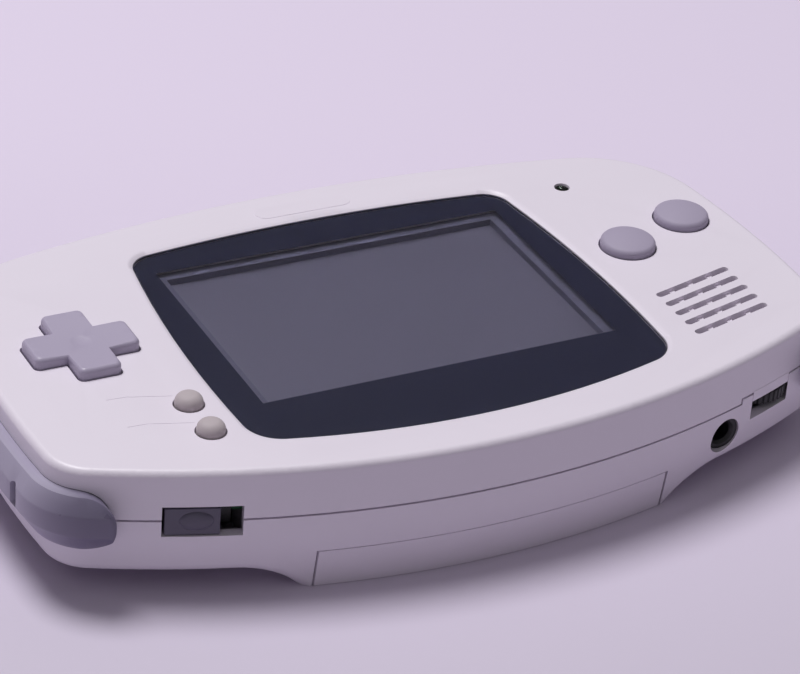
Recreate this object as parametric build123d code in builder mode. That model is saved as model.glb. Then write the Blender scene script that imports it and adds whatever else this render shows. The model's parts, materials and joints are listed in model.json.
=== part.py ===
"""Handheld game console, as an assembly of separate pieces.

Lengths are in millimetres. X runs to the player's right, Y from the battery edge to the
cartridge edge, and Z out of the screen. The origin is on the surface that the console
rests on, under the middle of the casing.
"""
from build123d import *
import os
from math import acos, asin, atan2, cos, degrees, radians, sin, sqrt, tan

os.makedirs("parts", exist_ok=True)

# Casing outline, seen from the front
side_margin = 10.2
top_arc_radius = 260.0
side_arc_radius = 170.0
bottom_arc_radius = 150.0
side_arc_y = -6.0
top_corner_radius = 20.0
bottom_corner_radius = 8.5

# Casing heights, each above or below what it follows
seam_drop = 0.1
crease_drop = 4.5
wing_rise = 1.9
middle_skin = 1.6

# Casing walls and edges
wall = 1.8
face_wall = 2.0
seam_gap = 0.35
front_draft = 3.0
rear_draft = 8.0
face_edge_radius = 1.2
wing_edge_radius = 2.4
lip_thickness = 0.7
lip_height = 1.2
lip_root = 2.4

# Raised middle of the back, and the battery bulge at its end
column_margin = 3.1
flank_width = 9.5
bulge_margin = 2.54

# Clearances and overruns
fit_gap = 0.1
run_gap = 0.25
bite = 0.1
overrun = 6.0

# Screen lens and the window printed on it
screen_y = 3.5
window_width = 62.2
window_height = 41.4
lens_side_border = 6.0
lens_top_margin = 9.8
lens_bottom_margin = 8.9
lens_top_radius = 260.0
lens_side_radius = 230.0
lens_bottom_radius = 127.0
lens_side_y = -10.0
lens_top_corner = 4.5
lens_bottom_corner = 6.0
lens_recess = 0.6
lens_bevel_width = 1.0
lens_thickness = 1.1
lens_edge_chamfer = 0.15
tape_thickness = 0.15
tape_width = 2.6
ledge_thickness = 0.65
ledge_rim = 1.2
ledge_opening_margin = 0.8

# Display
lcd_side_overlap = 1.4
lcd_end_overlap = 1.8
lcd_thickness = 1.4
gasket_thickness = 1.1
gasket_side_cover = 1.4
gasket_end_cover = 1.3
lcd_over_bay = 0.2
lcd_over_board = 3.3
lcd_holder_wall = 1.2
lcd_beam_height = 1.6
lcd_leg_length = 5.0
lcd_lower_leg_drop = 4.5
ribbon_width = 24.0
ribbon_thickness = 0.2
ribbon_bend_radius = 0.6
ribbon_end_margin = 2.0
ribbon_reach = 11.0
socket_reach = 5.0
socket_depth = 4.0
socket_height = 1.3

# Directional pad
dpad_margin = 14.8
dpad_y = 5.3
dpad_half_length = 8.7
dpad_half_arm = 3.5
dpad_rise = 1.9
dpad_flange_rim = 1.0
dpad_flange_thickness = 0.9
dpad_lift_gap = 0.95
dpad_corner_radius = 1.1
dpad_edge_radius = 0.8
dpad_dish_depth = 0.35
dpad_dimple_radius = 7.0
dpad_dimple_depth = 0.25

# Round action buttons
button_b_margin = 8.5
button_b_y = 4.3
button_pitch_x = 13.3
button_pitch_y = 5.0
action_radius = 4.65
action_rise = 2.0
action_dome_radius = 15.0
action_edge_radius = 0.9
action_flange_rim = 1.25
action_flange_thickness = 0.9
action_stem_radius = 2.6

# Small menu buttons, upper and lower
start_margin = 5.4
start_y = -14.9
select_margin = 5.3
select_y = -22.9
menu_radius = 2.25
menu_rise = 1.9
menu_edge_radius = 1.5
menu_flange_rim = 0.75
menu_flange_thickness = 0.8

# Rubber membranes
sheet_thickness = 0.5
pill_radius = 2.2
dome_tip_share = 0.65

# Shoulder buttons and their hinges
shoulder_heel = 2.6
shoulder_pin_margin = 2.5
shoulder_pin_inset = 6.9
shoulder_reach = 31.0
shoulder_proud = 1.5
shoulder_thickness = 8.0
shoulder_end_inset = 23.5
shoulder_drop = 4.1
shoulder_rise = 5.1
shoulder_edge_radius = 1.3
shoulder_swing = 3.0
pin_radius = 0.8
pin_boss_radius = 2.2
spring_wire = 0.4
spring_turns = 4
shoulder_switch_turn = 45
shoulder_plunger = 0.9
shoulder_switch_length = 4.4
shoulder_switch_width = 3.4
shoulder_switch_height = 2.8

# Side rails
rail_drop = 4.8
rail_rise = 4.9
rail_proud = 3.15
rail_seat_depth = 0.8
rail_nose_inset = 8.5
rail_nose_radius = 4.5
rail_lower_bevel = 2.4
rail_lower_rise = 3.6
rail_upper_bevel = 1.6
rail_upper_fall = 2.6
rail_edge_radius = 0.8
strap_slot_y = -17.5
strap_slot_rise = 0.5
strap_slot_length = 4.6
strap_slot_width = 2.0

# Power switch, on the front wall
switch_margin = 10.8
switch_drop = 0.2
switch_slot_length = 12.2
switch_slot_height = 5.2
slider_length = 8.4
slider_height = 4.7
slider_depth = 3.4
slider_recess = 0.6
slider_grip_radius = 5.0
slider_grip_depth = 0.5
slider_peg = 1.2
switch_travel = 3.0
switch_body_depth = 4.0
switch_body_height = 2.6

# Headphone jack, on the front wall
jack_margin = 5.5
jack_drop = 3.9
jack_hole_radius = 3.1
jack_bore_radius = 1.8
jack_body_length = 13.0
jack_body_half_width = 2.8
jack_barrel_length = 2.6
jack_bevel = 0.5
jack_recess = 0.4

# Volume wheel and its slot
wheel_margin = 15.6
wheel_slot_drop = 2.3
wheel_radius = 6.2
wheel_thickness = 2.0
wheel_recess = 0.35
wheel_shaft_radius = 0.9
pot_radius = 3.4
pot_height = 1.5
wheel_teeth = 40
wheel_tooth_radius = 0.22
wheel_slot_length = 8.9
wheel_slot_height = 3.4
tongue_before = 7.2
tongue_after = 10.3
tongue_rise = 1.1

# Speaker and its grille
speaker_margin = 12.75
speaker_y = -15.8
speaker_radius = 9.6
speaker_thickness = 3.6
speaker_gasket_thickness = 0.7
magnet_share = 0.55
cone_radius = 22.0
cone_depth = 1.0
grille_slots = 5
grille_pitch = 3.05
grille_slot_length = 16.2
grille_slot_width = 1.3
grille_tilt = 13.9
grille_groove_depth = 0.7
grille_cells = 4
grille_rib = 0.9

# Power light
led_margin = 7.9
led_y = 25.8
led_hole_radius = 1.35
light_pipe_recess = 0.35
led_length = 1.6
led_width = 0.9
led_height = 0.7

# Engraved leader lines beside the small buttons, and the plain raised pad
engraving_width = 0.3
engraving_depth = 0.2
leader_start_left = 1.4
leader_start_up = 2.85
leader_slope_length = 6.8
leader_slope_rise = 2.15
leader_level_length = 3.1
leader_level_rise = 0.2
pad_length = 17.4
pad_height = 3.6
pad_inset = 6.4
pad_rise = 0.2

# Main board
board_thickness = 1.0
board_inset = 3.2

# Parts on the board: places as shares of the half width and half depth of the casing,
# and length, width and height
processor_shares = [(-0.29, 0.49)]
processor_size = (14.0, 14.0, 1.2)
memory_shares = [(0.24, 0.51), (0.33, 0.12)]
memory_size = (8.0, 12.0, 1.1)
transformer_shares = [(-0.655, 0.49)]
transformer_size = (8.0, 8.0, 3.6)
crystal_shares = [(-0.06, 0.66)]
crystal_size = (7.0, 3.2, 1.6)
capacitor_shares = [(-0.8, 0.29), (-0.71, -0.34), (0.63, 0.29), (0.79, -0.1)]
capacitor_radius = 2.2
capacitor_height = 4.2

# Battery bay, cells and cover
cell_radius = 7.1
cell_length = 50.2
cell_nub_radius = 2.6
cell_nub_length = 1.0
cell_gap = 0.4
cell_clearance = 0.3
bay_wall = 1.2
bay_front_wall = 0.8
bay_ceiling = 0.7
contact_room = 3.2
contact_wire = 0.5
contact_turns = 3
contact_coil_radius = 3.6
plate_thickness = 0.3
plate_dimple = 0.5
cell_edge_radius = 0.5
cover_wall = 1.5
cover_side_inset = 2.1
cover_top_drop = 2.8
cover_overlap = 0.74
latch_half_width = 5.0
latch_height = 3.0
latch_thickness = 0.9

# Cartridge bay and connector
slot_half_width = 29.4
slot_height = 8.7
slot_under_board = 0.9
slot_behind_bay = 1.14
cartridge_depth = 33.1
guide_wall = 1.5
connector_side_gap = 1.0
connector_depth = 6.6
connector_room = 5.7
thumb_half_width = 17.0
thumb_depth = 11.0
contact_pins = 32
pin_pitch = 1.6
pin_width = 0.6

# Link port, on the cartridge edge
port_width = 12.6
port_height = 3.9
port_recess = 0.6
port_tongue_thickness = 0.8
port_tongue_margin = 1.6
port_depth = 8.0
port_wall = 0.4

# Screws
screw_upper_margin = 1.9
screw_upper_drop = 6.6
screw_side_inset = 6.8
screw_side_y = -6.0
screw_lower_margin = 0.9
screw_lower_rise = 7.6
screw_radius = 0.85
screw_head_radius = 1.8
screw_head_height = 1.2
boss_radius = 2.5
board_screw_side_margin = 1.2
board_screw_side_y = -9.0
board_screw_end_margin = 3.2
board_screw_end_inset = 0.8
board_screw_length = 4.0
screw_recess_width = 0.5

# Battery bay, worked out from the cells
lip_inset = wall + fit_gap
cell_z = cover_wall + 2 * cell_clearance + cell_radius
bay_top_z = cell_z + cell_radius + cell_clearance
bay_roof_z = bay_top_z + bay_ceiling
bay_front_inset = lip_inset + bay_front_wall
bay_half_width = cell_length / 2 + contact_room
bay_outer_half_width = bay_half_width + bay_wall

# Levels above the battery bay: display, lens and face
lcd_low_z = bay_roof_z + lcd_over_bay
lcd_top_z = lcd_low_z + lcd_thickness
ledge_low_z = lcd_top_z + gasket_thickness
ledge_top_z = ledge_low_z + ledge_thickness
lens_low_z = ledge_top_z + tape_thickness
lens_top_z = lens_low_z + lens_thickness
face_z = lens_top_z + lens_recess
face_inner_z = face_z - face_wall

# Levels below the display: board, cartridge bay and back
board_top_z = lcd_low_z - lcd_over_board
board_low_z = board_top_z - board_thickness
slot_high_z = board_low_z - slot_under_board
slot_low_z = slot_high_z - slot_height
middle_z = slot_low_z - middle_skin
wing_z = middle_z + wing_rise
wing_floor_z = wing_z + wall
seam_z = board_top_z - seam_drop
seam_low_z = seam_z - seam_gap / 2
seam_high_z = seam_z + seam_gap / 2
crease_z = seam_z - crease_drop
cover_top_z = crease_z - cover_top_drop
shoulder_low_z = seam_z - shoulder_drop
shoulder_high_z = seam_z + shoulder_rise
rail_low_z = seam_z - rail_drop
rail_high_z = seam_z + rail_rise
strap_slot_z = seam_z + strap_slot_rise
switch_z = seam_z - switch_drop
wheel_slot_z = seam_z - wheel_slot_drop
jack_z = board_low_z - jack_drop
dpad_top_z = face_z + dpad_rise
action_top_z = face_z + action_rise
menu_top_z = face_z + menu_rise

# Places across the casing, worked out from the screen outwards
lens_half_width = window_width / 2 + lens_side_border
button_b_x = lens_half_width + button_b_margin
button_a_x = button_b_x + button_pitch_x
button_a_y = button_b_y + button_pitch_y
body_half_width = button_a_x + side_margin
half_span = body_half_width + overrun
dpad_x = -lens_half_width - dpad_margin
start_x = -lens_half_width - start_margin
select_x = -lens_half_width - select_margin
switch_x = -lens_half_width - switch_margin
speaker_x = lens_half_width + speaker_margin
led_x = lens_half_width + led_margin
jack_x = lens_half_width + jack_margin
wheel_x = lens_half_width + wheel_margin
tongue_start_x = wheel_x - tongue_before
tongue_end_x = wheel_x + tongue_after
shoulder_pin_x = lens_half_width + shoulder_pin_margin
shoulder_inner_x = shoulder_pin_x - shoulder_heel
rail_nose_x = body_half_width - rail_nose_inset
column_half_width = slot_half_width + column_margin
flank_half_width = column_half_width + flank_width
cover_half_width = column_half_width - cover_side_inset
connector_half_width = slot_half_width - connector_side_gap


def wall_setback(x, inset=0.0):
    """How far the front wall stands behind its foremost point at x, and this far inside."""
    return bottom_arc_radius - sqrt((bottom_arc_radius - inset) ** 2 - x * x)


# Depth of the casing: the battery bay, and the cartridge bay behind it
cell_setback = wall_setback(cell_length / 2, bay_front_inset + cell_clearance)
bay_depth = cell_setback + 4 * cell_radius + cell_gap + cell_clearance
slot_depth = connector_room + connector_depth + cartridge_depth
body_depth = bay_depth + bay_wall + slot_behind_bay + slot_depth
front_y = -body_depth / 2
back_y = body_depth / 2

# Places along the casing
cell_front_y = front_y + cell_setback + cell_radius
cell_back_y = cell_front_y + 2 * cell_radius + cell_gap
bay_back_y = front_y + bay_depth
bay_outer_back_y = bay_back_y + bay_wall
cover_back_y = bay_back_y + cover_overlap
bulge_back_y = bay_outer_back_y + bulge_margin
slot_start_y = back_y - slot_depth
connector_y = back_y - cartridge_depth - connector_depth / 2
lens_top_y = back_y - lens_top_margin
lens_bottom_y = front_y + lens_bottom_margin
pad_y = back_y - pad_inset
shoulder_pin_y = back_y - shoulder_pin_inset
shoulder_end_y = back_y - shoulder_end_inset

# Display, its gasket and its ribbon, worked out from the window
lcd_width = window_width + 2 * lcd_side_overlap
lcd_height = window_height + 2 * lcd_end_overlap
lcd_view_width = window_width - 2 * gasket_side_cover
lcd_view_height = window_height - 2 * gasket_end_cover
lcd_lower_leg_y = screen_y - lcd_lower_leg_drop
ribbon_end_y = screen_y + lcd_height / 2 - ribbon_end_margin
ribbon_fold_y = ribbon_end_y - ribbon_reach
socket_y = ribbon_fold_y - socket_reach

# Sizes that follow the pieces they hold
dpad_flange_radius = dpad_half_length + dpad_flange_rim
action_flange_radius = action_radius + action_flange_rim
menu_flange_radius = menu_radius + menu_flange_rim
port_outer_height = port_height + 2 * port_wall
shoulder_travel = shoulder_reach * radians(shoulder_swing)


def front_wall_y(x):
    """Y of the front wall at x."""
    return front_y + wall_setback(x)


def four_arc_outline(sides, radii, corners, grow):
    """Outline of four crowned edges with rounded corners, grown outwards by a distance."""
    half_width, side_y, top_y, bottom_y = sides
    top_radius, side_radius, bottom_radius = radii
    top_corner, bottom_corner = corners
    with BuildSketch() as outline:
        with Locations((0, bottom_y + bottom_radius)):
            Circle(bottom_radius + grow)
        with Locations((0, top_y - top_radius)):
            Circle(top_radius + grow, mode=Mode.INTERSECT)
        for side in (-1, 1):
            centre_x = side * (half_width - side_radius)
            with Locations(Location((centre_x, side_y, 0), (0, 0, 90))):
                Circle(side_radius + grow, mode=Mode.INTERSECT)
        fillet(outline.vertices().group_by(Axis.Y)[-1], max(top_corner + grow, bite))
        fillet(outline.vertices().group_by(Axis.Y)[0], max(bottom_corner + grow, bite))
    return outline.sketch


def casing_plan(grow=0.0):
    """Casing outline, grown outwards by a distance."""
    return four_arc_outline(
        (body_half_width, side_arc_y, back_y, front_y),
        (top_arc_radius, side_arc_radius, bottom_arc_radius),
        (top_corner_radius, bottom_corner_radius),
        grow,
    )


def lens_plan(grow=0.0):
    """Screen lens outline, grown outwards by a distance."""
    return four_arc_outline(
        (lens_half_width, lens_side_y, lens_top_y, lens_bottom_y),
        (lens_top_radius, lens_side_radius, lens_bottom_radius),
        (lens_top_corner, lens_bottom_corner),
        grow,
    )


def slab(x_range, y_range, z_range, mode=Mode.ADD):
    """Box between two corners, in the part being built."""
    (x0, x1), (y0, y1), (z0, z1) = x_range, y_range, z_range
    with Locations(((x0 + x1) / 2, (y0 + y1) / 2, (z0 + z1) / 2)):
        Box(x1 - x0, y1 - y0, z1 - z0, mode=mode)


def post(x, y, z0, z1, radius, mode=Mode.ADD):
    """Upright cylinder, in the part being built."""
    with Locations((x, y, (z0 + z1) / 2)):
        Cylinder(radius, z1 - z0, mode=mode)


def prism(sketches, z0, z1, mode=Mode.ADD):
    """Sketches extruded between two heights, in the part being built.

    The first is added and each later one cuts away from it.
    """
    with BuildSketch(Plane.XY.offset(z0)) as profile:
        add(sketches[0])
        for other in sketches[1:]:
            add(other, mode=Mode.SUBTRACT)
    extrude(profile.sketch, amount=z1 - z0, mode=mode)


def sloped(low, high, z0, z1, mode=Mode.ADD):
    """Solid with straight sides from one outline up to another, in the part being built."""
    with BuildSketch(Plane.XY.offset(z0)) as low_face:
        add(low)
    with BuildSketch(Plane.XY.offset(z1)) as high_face:
        add(high)
    loft([low_face.sketch, high_face.sketch], ruled=True, mode=mode)


def finish(builder, name):
    """Label a piece and write its file."""
    builder.part.label = name
    export_step(builder.part, f"parts/{name}.step")


# Place on the front wall where the power switch sits, turned to the wall's slope
switch_tilt = degrees(asin(switch_x / bottom_arc_radius))
switch_plane = Plane(
    Location((switch_x, front_wall_y(switch_x), switch_z), (0, 0, switch_tilt))
)


def shoulder_sketch(side, grow, outer, inner, travel=0.0):
    """Plan of a shoulder button, between two distances from the casing outline."""
    with BuildSketch() as region:
        with Locations((side * shoulder_pin_x, shoulder_pin_y)):
            Circle(shoulder_reach + grow)
        width = body_half_width
        depth = body_depth
        low_y = shoulder_end_y - grow - travel
        with Locations((side * (shoulder_inner_x - grow + width), low_y + depth)):
            Rectangle(2 * width, 2 * depth, mode=Mode.INTERSECT)
        add(casing_plan(outer), mode=Mode.INTERSECT)
        add(casing_plan(inner - travel), mode=Mode.SUBTRACT)
    return region.sketch


def cut_shoulder_pocket(side):
    """Room for a shoulder button and its swing, cut from a shell."""
    sketch = shoulder_sketch(side, run_gap, overrun, -shoulder_thickness, shoulder_travel)
    prism([sketch], shoulder_low_z - run_gap, shoulder_high_z + run_gap, Mode.SUBTRACT)


def rail_sketch(side, inner, outer, clear=0.0):
    """Plan of a side rail, between two distances from the casing outline."""
    with BuildSketch() as region:
        add(casing_plan(outer))
        add(casing_plan(inner), mode=Mode.SUBTRACT)
        rail_width = body_half_width
        with Locations((side * (rail_nose_x - clear + rail_width), front_y)):
            Rectangle(2 * rail_width, 2 * body_depth, mode=Mode.INTERSECT)
        with Locations((side * shoulder_pin_x, shoulder_pin_y)):
            Circle(shoulder_reach + 2 * run_gap - clear, mode=Mode.SUBTRACT)
        with Locations((side * body_half_width, back_y)):
            Rectangle(body_half_width, body_depth / 2, mode=Mode.SUBTRACT)
    return region.sketch


def rail_form(side, inner, outer, clear=0.0):
    """Side rail between two distances from the casing outline, with a round nose."""
    with BuildPart() as form:
        prism([rail_sketch(side, inner, outer, clear)], rail_low_z - clear, rail_high_z + clear)
        nose_x = rail_nose_x - clear
        nose = form.edges().filter_by(Axis.Y)
        nose = nose.filter_by(lambda e: abs(abs(e.center().X) - nose_x) < bite)
        fillet(nose, rail_nose_radius + clear)
    return form.part


def cut_strap_slot(mode=Mode.SUBTRACT):
    """Slot for a wrist strap, through the left rail and the wall behind it."""
    with BuildSketch(Plane.YZ.offset(-half_span)) as slot:
        with Locations((strap_slot_y, strap_slot_z)):
            SlotOverall(strap_slot_length, strap_slot_width, rotation=90)
    extrude(slot.sketch, amount=half_span - body_half_width + 2 * wall, mode=mode)


def turned_box(place, size, mode=Mode.ADD):
    """Box at a place in the power switch's own axes, in the part being built."""
    with Locations(switch_plane.location * Location(place)):
        Box(*size, mode=mode)


def cut_switch_slot():
    """Slot for the power switch, half in each shell."""
    turned_box((0, 0, 0), (switch_slot_length, 2 * overrun, switch_slot_height), Mode.SUBTRACT)


def cut_link_port():
    """Opening for the link port, part in each shell."""
    x_range = (-port_width / 2 - fit_gap, port_width / 2 + fit_gap)
    z_range = (board_top_z - fit_gap, board_top_z + port_outer_height + fit_gap)
    y_range = (back_y - port_recess - port_depth - fit_gap, back_y + overrun)
    slab(x_range, y_range, z_range, Mode.SUBTRACT)


def both_sides(places):
    """Each place and its mirror image across the middle."""
    return [(side * x, y) for x, y in places for side in (-1, 1)]


wheel_y = front_wall_y(wheel_x) + wheel_recess + wheel_radius
wheel_slot_range = (wheel_x - wheel_slot_length / 2, wheel_x + wheel_slot_length / 2)
wheel_slot_low_z = wheel_slot_z - wheel_slot_height / 2
wheel_slot_high_z = wheel_slot_z + wheel_slot_height / 2
tongue_z = seam_z + tongue_rise
tongue_y_range = (front_y - overrun, front_wall_y(tongue_end_x) + wall)
opening_half_width = window_width / 2 + ledge_opening_margin
opening_half_height = window_height / 2 + ledge_opening_margin
action_places = [(button_a_x, button_a_y), (button_b_x, button_b_y)]
menu_places = [(start_x, start_y), (select_x, select_y)]


def places_in_casing(shares):
    """Places given as shares of the casing's half width and half depth."""
    return [(across * body_half_width, along * back_y) for across, along in shares]


screw_places = both_sides(
    [
        (lens_half_width + screw_upper_margin, lens_top_y - screw_upper_drop),
        (body_half_width - screw_side_inset, screw_side_y),
        (lens_half_width - screw_lower_margin, lens_bottom_y + screw_lower_rise),
    ]
)
holder_room = (lcd_width + 2 * fit_gap, lcd_height + 2 * fit_gap)
holder_size = tuple(size + 2 * lcd_holder_wall for size in holder_room)
board_screw_end_y = screen_y + holder_size[1] / 2 + boss_radius + board_screw_end_margin
board_screw_side_x = holder_size[0] / 2 + boss_radius + board_screw_side_margin
board_screw_places = both_sides([(holder_size[0] / 2 - board_screw_end_inset, board_screw_end_y)])
board_screw_places.append((-board_screw_side_x, board_screw_side_y))
rail_seats = [rail_form(side, -rail_seat_depth, overrun, fit_gap) for side in (-1, 1)]


def cross_sketch(half_length, half_arm, corner):
    """Plus-shaped outline with rounded arm corners."""
    with BuildSketch() as cross:
        with Locations((dpad_x, dpad_y)):
            Rectangle(2 * half_length, 2 * half_arm)
            Rectangle(2 * half_arm, 2 * half_length)
        centre = Vector(dpad_x, dpad_y)
        tips = [v for v in cross.vertices() if (Vector(v) - centre).length > half_length]
        fillet(tips, corner)
    return cross.sketch


# Tab of the front shell that closes the top of the volume wheel's slot
with BuildPart() as wheel_tab:
    tab_range = (wheel_slot_range[0] + fit_gap, wheel_slot_range[1] - fit_gap)
    prism([casing_plan(), casing_plan(-wall)], wheel_slot_high_z, tongue_z + bite)
    slab(tab_range, tongue_y_range, (wheel_slot_high_z, tongue_z + bite), Mode.INTERSECT)

# Front shell: the face with its openings, and the upper half of the side wall
with BuildPart() as front_shell:
    face_inset = (face_z - seam_high_z) * tan(radians(front_draft))
    sloped(casing_plan(), casing_plan(-face_inset), seam_high_z, face_z)
    fillet(front_shell.faces().sort_by(Axis.Z)[-1].edges(), face_edge_radius)
    prism([casing_plan(-wall)], seam_z, face_inner_z, Mode.SUBTRACT)

    # Raised seam over the volume wheel
    slab((tongue_start_x, tongue_end_x), tongue_y_range, (seam_z, tongue_z), Mode.SUBTRACT)
    add(wheel_tab.part)

    # Lens recess with its sloping rim and glued ledge, and the opening behind the window
    prism([lens_plan(ledge_rim)], ledge_low_z, face_inner_z)
    prism([lens_plan(fit_gap)], ledge_top_z, face_z, Mode.SUBTRACT)
    bevel = lens_plan(fit_gap + lens_bevel_width)
    sloped(lens_plan(fit_gap), bevel, lens_top_z, face_z, Mode.SUBTRACT)
    with BuildSketch(Plane.XY.offset(ledge_low_z)):
        with Locations((0, screen_y)):
            Rectangle(2 * opening_half_width, 2 * opening_half_height)
    extrude(amount=ledge_thickness, mode=Mode.SUBTRACT)

    # Openings for the controls
    cross = cross_sketch(
        dpad_half_length + run_gap, dpad_half_arm + run_gap, dpad_corner_radius
    )
    prism([cross], face_inner_z, face_z, Mode.SUBTRACT)
    for x, y in action_places:
        post(x, y, face_inner_z, face_z, action_radius + run_gap, Mode.SUBTRACT)
    for x, y in menu_places:
        post(x, y, face_inner_z, face_z, menu_radius + run_gap, Mode.SUBTRACT)
    post(led_x, led_y, face_inner_z, face_z, led_hole_radius, Mode.SUBTRACT)

    # Speaker grille: long grooves, opened through between their cross ribs
    slot_places = [
        (speaker_x, speaker_y + (i - (grille_slots - 1) / 2) * grille_pitch)
        for i in range(grille_slots)
    ]
    with BuildSketch(Plane.XY.offset(face_z)):
        for x, y in slot_places:
            with Locations((x, y)):
                SlotOverall(grille_slot_length, grille_slot_width, rotation=grille_tilt)
    extrude(amount=-grille_groove_depth, mode=Mode.SUBTRACT)
    cell_length_along = (grille_slot_length - (grille_cells - 1) * grille_rib) / grille_cells
    cell_pitch = cell_length_along + grille_rib
    with BuildSketch(Plane.XY.offset(face_z)):
        for x, y in slot_places:
            for i in range(grille_cells):
                along = (i - (grille_cells - 1) / 2) * cell_pitch
                tilt = radians(grille_tilt)
                with Locations((x + along * cos(tilt), y + along * sin(tilt))):
                    SlotOverall(cell_length_along, grille_slot_width, rotation=grille_tilt)
    extrude(amount=-face_wall, mode=Mode.SUBTRACT)

    # Leader lines beside the small buttons
    with BuildSketch(Plane.XY.offset(face_z)):
        for x, y in menu_places:
            near = (x - leader_start_left, y + leader_start_up)
            bend = (near[0] - leader_slope_length, near[1] + leader_slope_rise)
            end = (bend[0] - leader_level_length, bend[1] + leader_level_rise)
            with BuildLine() as leader:
                Polyline(near, bend, end)
            trace(leader.line, line_width=engraving_width)
    extrude(amount=-engraving_depth, mode=Mode.SUBTRACT)

    # Plain raised pad above the lens
    with BuildSketch(Plane.XY.offset(face_z)):
        with Locations((0, pad_y)):
            SlotOverall(pad_length, pad_height)
    extrude(amount=pad_rise)

    # Screw bosses, from the face to the board
    for x, y in screw_places + board_screw_places:
        post(x, y, board_top_z + fit_gap, face_inner_z + bite, boss_radius)
        post(x, y, board_top_z, face_inner_z, screw_radius + fit_gap / 2, Mode.SUBTRACT)

    for side in (-1, 1):
        cut_shoulder_pocket(side)
        pin_place = (side * shoulder_pin_x, shoulder_pin_y)
        post(*pin_place, shoulder_high_z + run_gap, face_inner_z + bite, pin_boss_radius)
        post(
            *pin_place,
            shoulder_high_z,
            face_inner_z,
            pin_radius + fit_gap / 2,
            Mode.SUBTRACT,
        )
    add(rail_seats, mode=Mode.SUBTRACT)
    cut_switch_slot()
    cut_strap_slot()
    cut_link_port()
finish(front_shell, "front_shell")

# Outer form of the back, before it is hollowed
flank_drop = wing_z
flank_run = flank_half_width - column_half_width
flank_angle = 2 * atan2(flank_drop, flank_run)
flank_radius = flank_run / sin(flank_angle)
flank_mid_x = flank_half_width - flank_radius * sin(flank_angle / 2)
flank_mid_z = wing_z - flank_radius * (1 - cos(flank_angle / 2))
back_inset = crease_z * tan(radians(rear_draft))
with BuildPart() as rear_form:
    prism([casing_plan()], crease_z, seam_low_z)
    sloped(casing_plan(-back_inset), casing_plan(), 0, crease_z)
    with BuildSketch(Plane.XZ.offset(-back_y - overrun)):
        with BuildLine():
            Polyline(
                (column_half_width, 0),
                (-column_half_width, 0),
            )
            ThreePointArc(
                (-column_half_width, 0),
                (-flank_mid_x, flank_mid_z),
                (-flank_half_width, wing_z),
            )
            Polyline(
                (-flank_half_width, wing_z),
                (-half_span, wing_z),
                (-half_span, seam_z),
                (half_span, seam_z),
                (half_span, wing_z),
                (flank_half_width, wing_z),
            )
            ThreePointArc(
                (flank_half_width, wing_z),
                (flank_mid_x, flank_mid_z),
                (column_half_width, 0),
            )
        make_face()
    extrude(amount=body_depth + 2 * overrun, mode=Mode.INTERSECT)
    with BuildSketch(Plane.YZ.offset(-half_span)):
        with BuildLine():
            Polyline(
                (bulge_back_y, 0),
                (bulge_back_y + middle_z, middle_z),
                (back_y + overrun, middle_z),
                (back_y + overrun, -overrun),
                (bulge_back_y, -overrun),
                close=True,
            )
        make_face()
    extrude(amount=2 * half_span, mode=Mode.SUBTRACT)
    wing_edges = (
        rear_form.edges()
        .filter_by(lambda e: abs(e.center().Z - wing_z) < bite)
        .filter_by(Axis.Y, reverse=True)
    )
    fillet(wing_edges, wing_edge_radius)

# Room behind the battery cover's skin
with BuildPart() as cover_room:
    sloped(casing_plan(-back_inset - cover_wall), casing_plan(-cover_wall), 0, crease_z)
    room_y_range = (front_y - overrun, back_y)
    slab((-half_span, half_span), room_y_range, (cover_wall, crease_z), Mode.INTERSECT)

# Battery cover: the bottom of the bulge and the lower part of its front wall
with BuildPart() as battery_cover:
    add(rear_form.part)
    slab(
        (-cover_half_width, cover_half_width),
        (front_y - overrun, cover_back_y),
        (-overrun, cover_top_z),
        Mode.INTERSECT,
    )
    add(cover_room.part, mode=Mode.SUBTRACT)
    slab(
        (-latch_half_width, latch_half_width),
        (bay_back_y - latch_thickness - fit_gap, bay_back_y - fit_gap),
        (cover_wall - bite, cover_wall + latch_height),
    )
finish(battery_cover, "battery_cover")

# Tongue of the rear shell, around the volume wheel
with BuildPart() as wheel_tongue:
    tongue_z_range = (seam_low_z - bite, tongue_z - seam_gap)
    prism([casing_plan(), casing_plan(-wall)], *tongue_z_range)
    tongue_x_range = (tongue_start_x + seam_gap, tongue_end_x)
    slab(tongue_x_range, tongue_y_range, tongue_z_range, Mode.INTERSECT)

# Battery box and the room inside it
with BuildPart() as box_walls:
    prism([casing_plan(-bay_front_inset - cover_wall)], cover_wall + fit_gap, bay_roof_z)
    prism([casing_plan(-lip_inset)], crease_z, bay_roof_z)
    box_range = (-bay_outer_half_width, bay_outer_half_width)
    slab(box_range, (front_y, bay_outer_back_y), (0, bay_roof_z), Mode.INTERSECT)

with BuildPart() as box_room:
    prism([casing_plan(-bay_front_inset)], -overrun, bay_top_z)
    bay_range = (-bay_half_width, bay_half_width)
    slab(bay_range, (front_y, bay_back_y), (-overrun, bay_top_z), Mode.INTERSECT)

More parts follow.
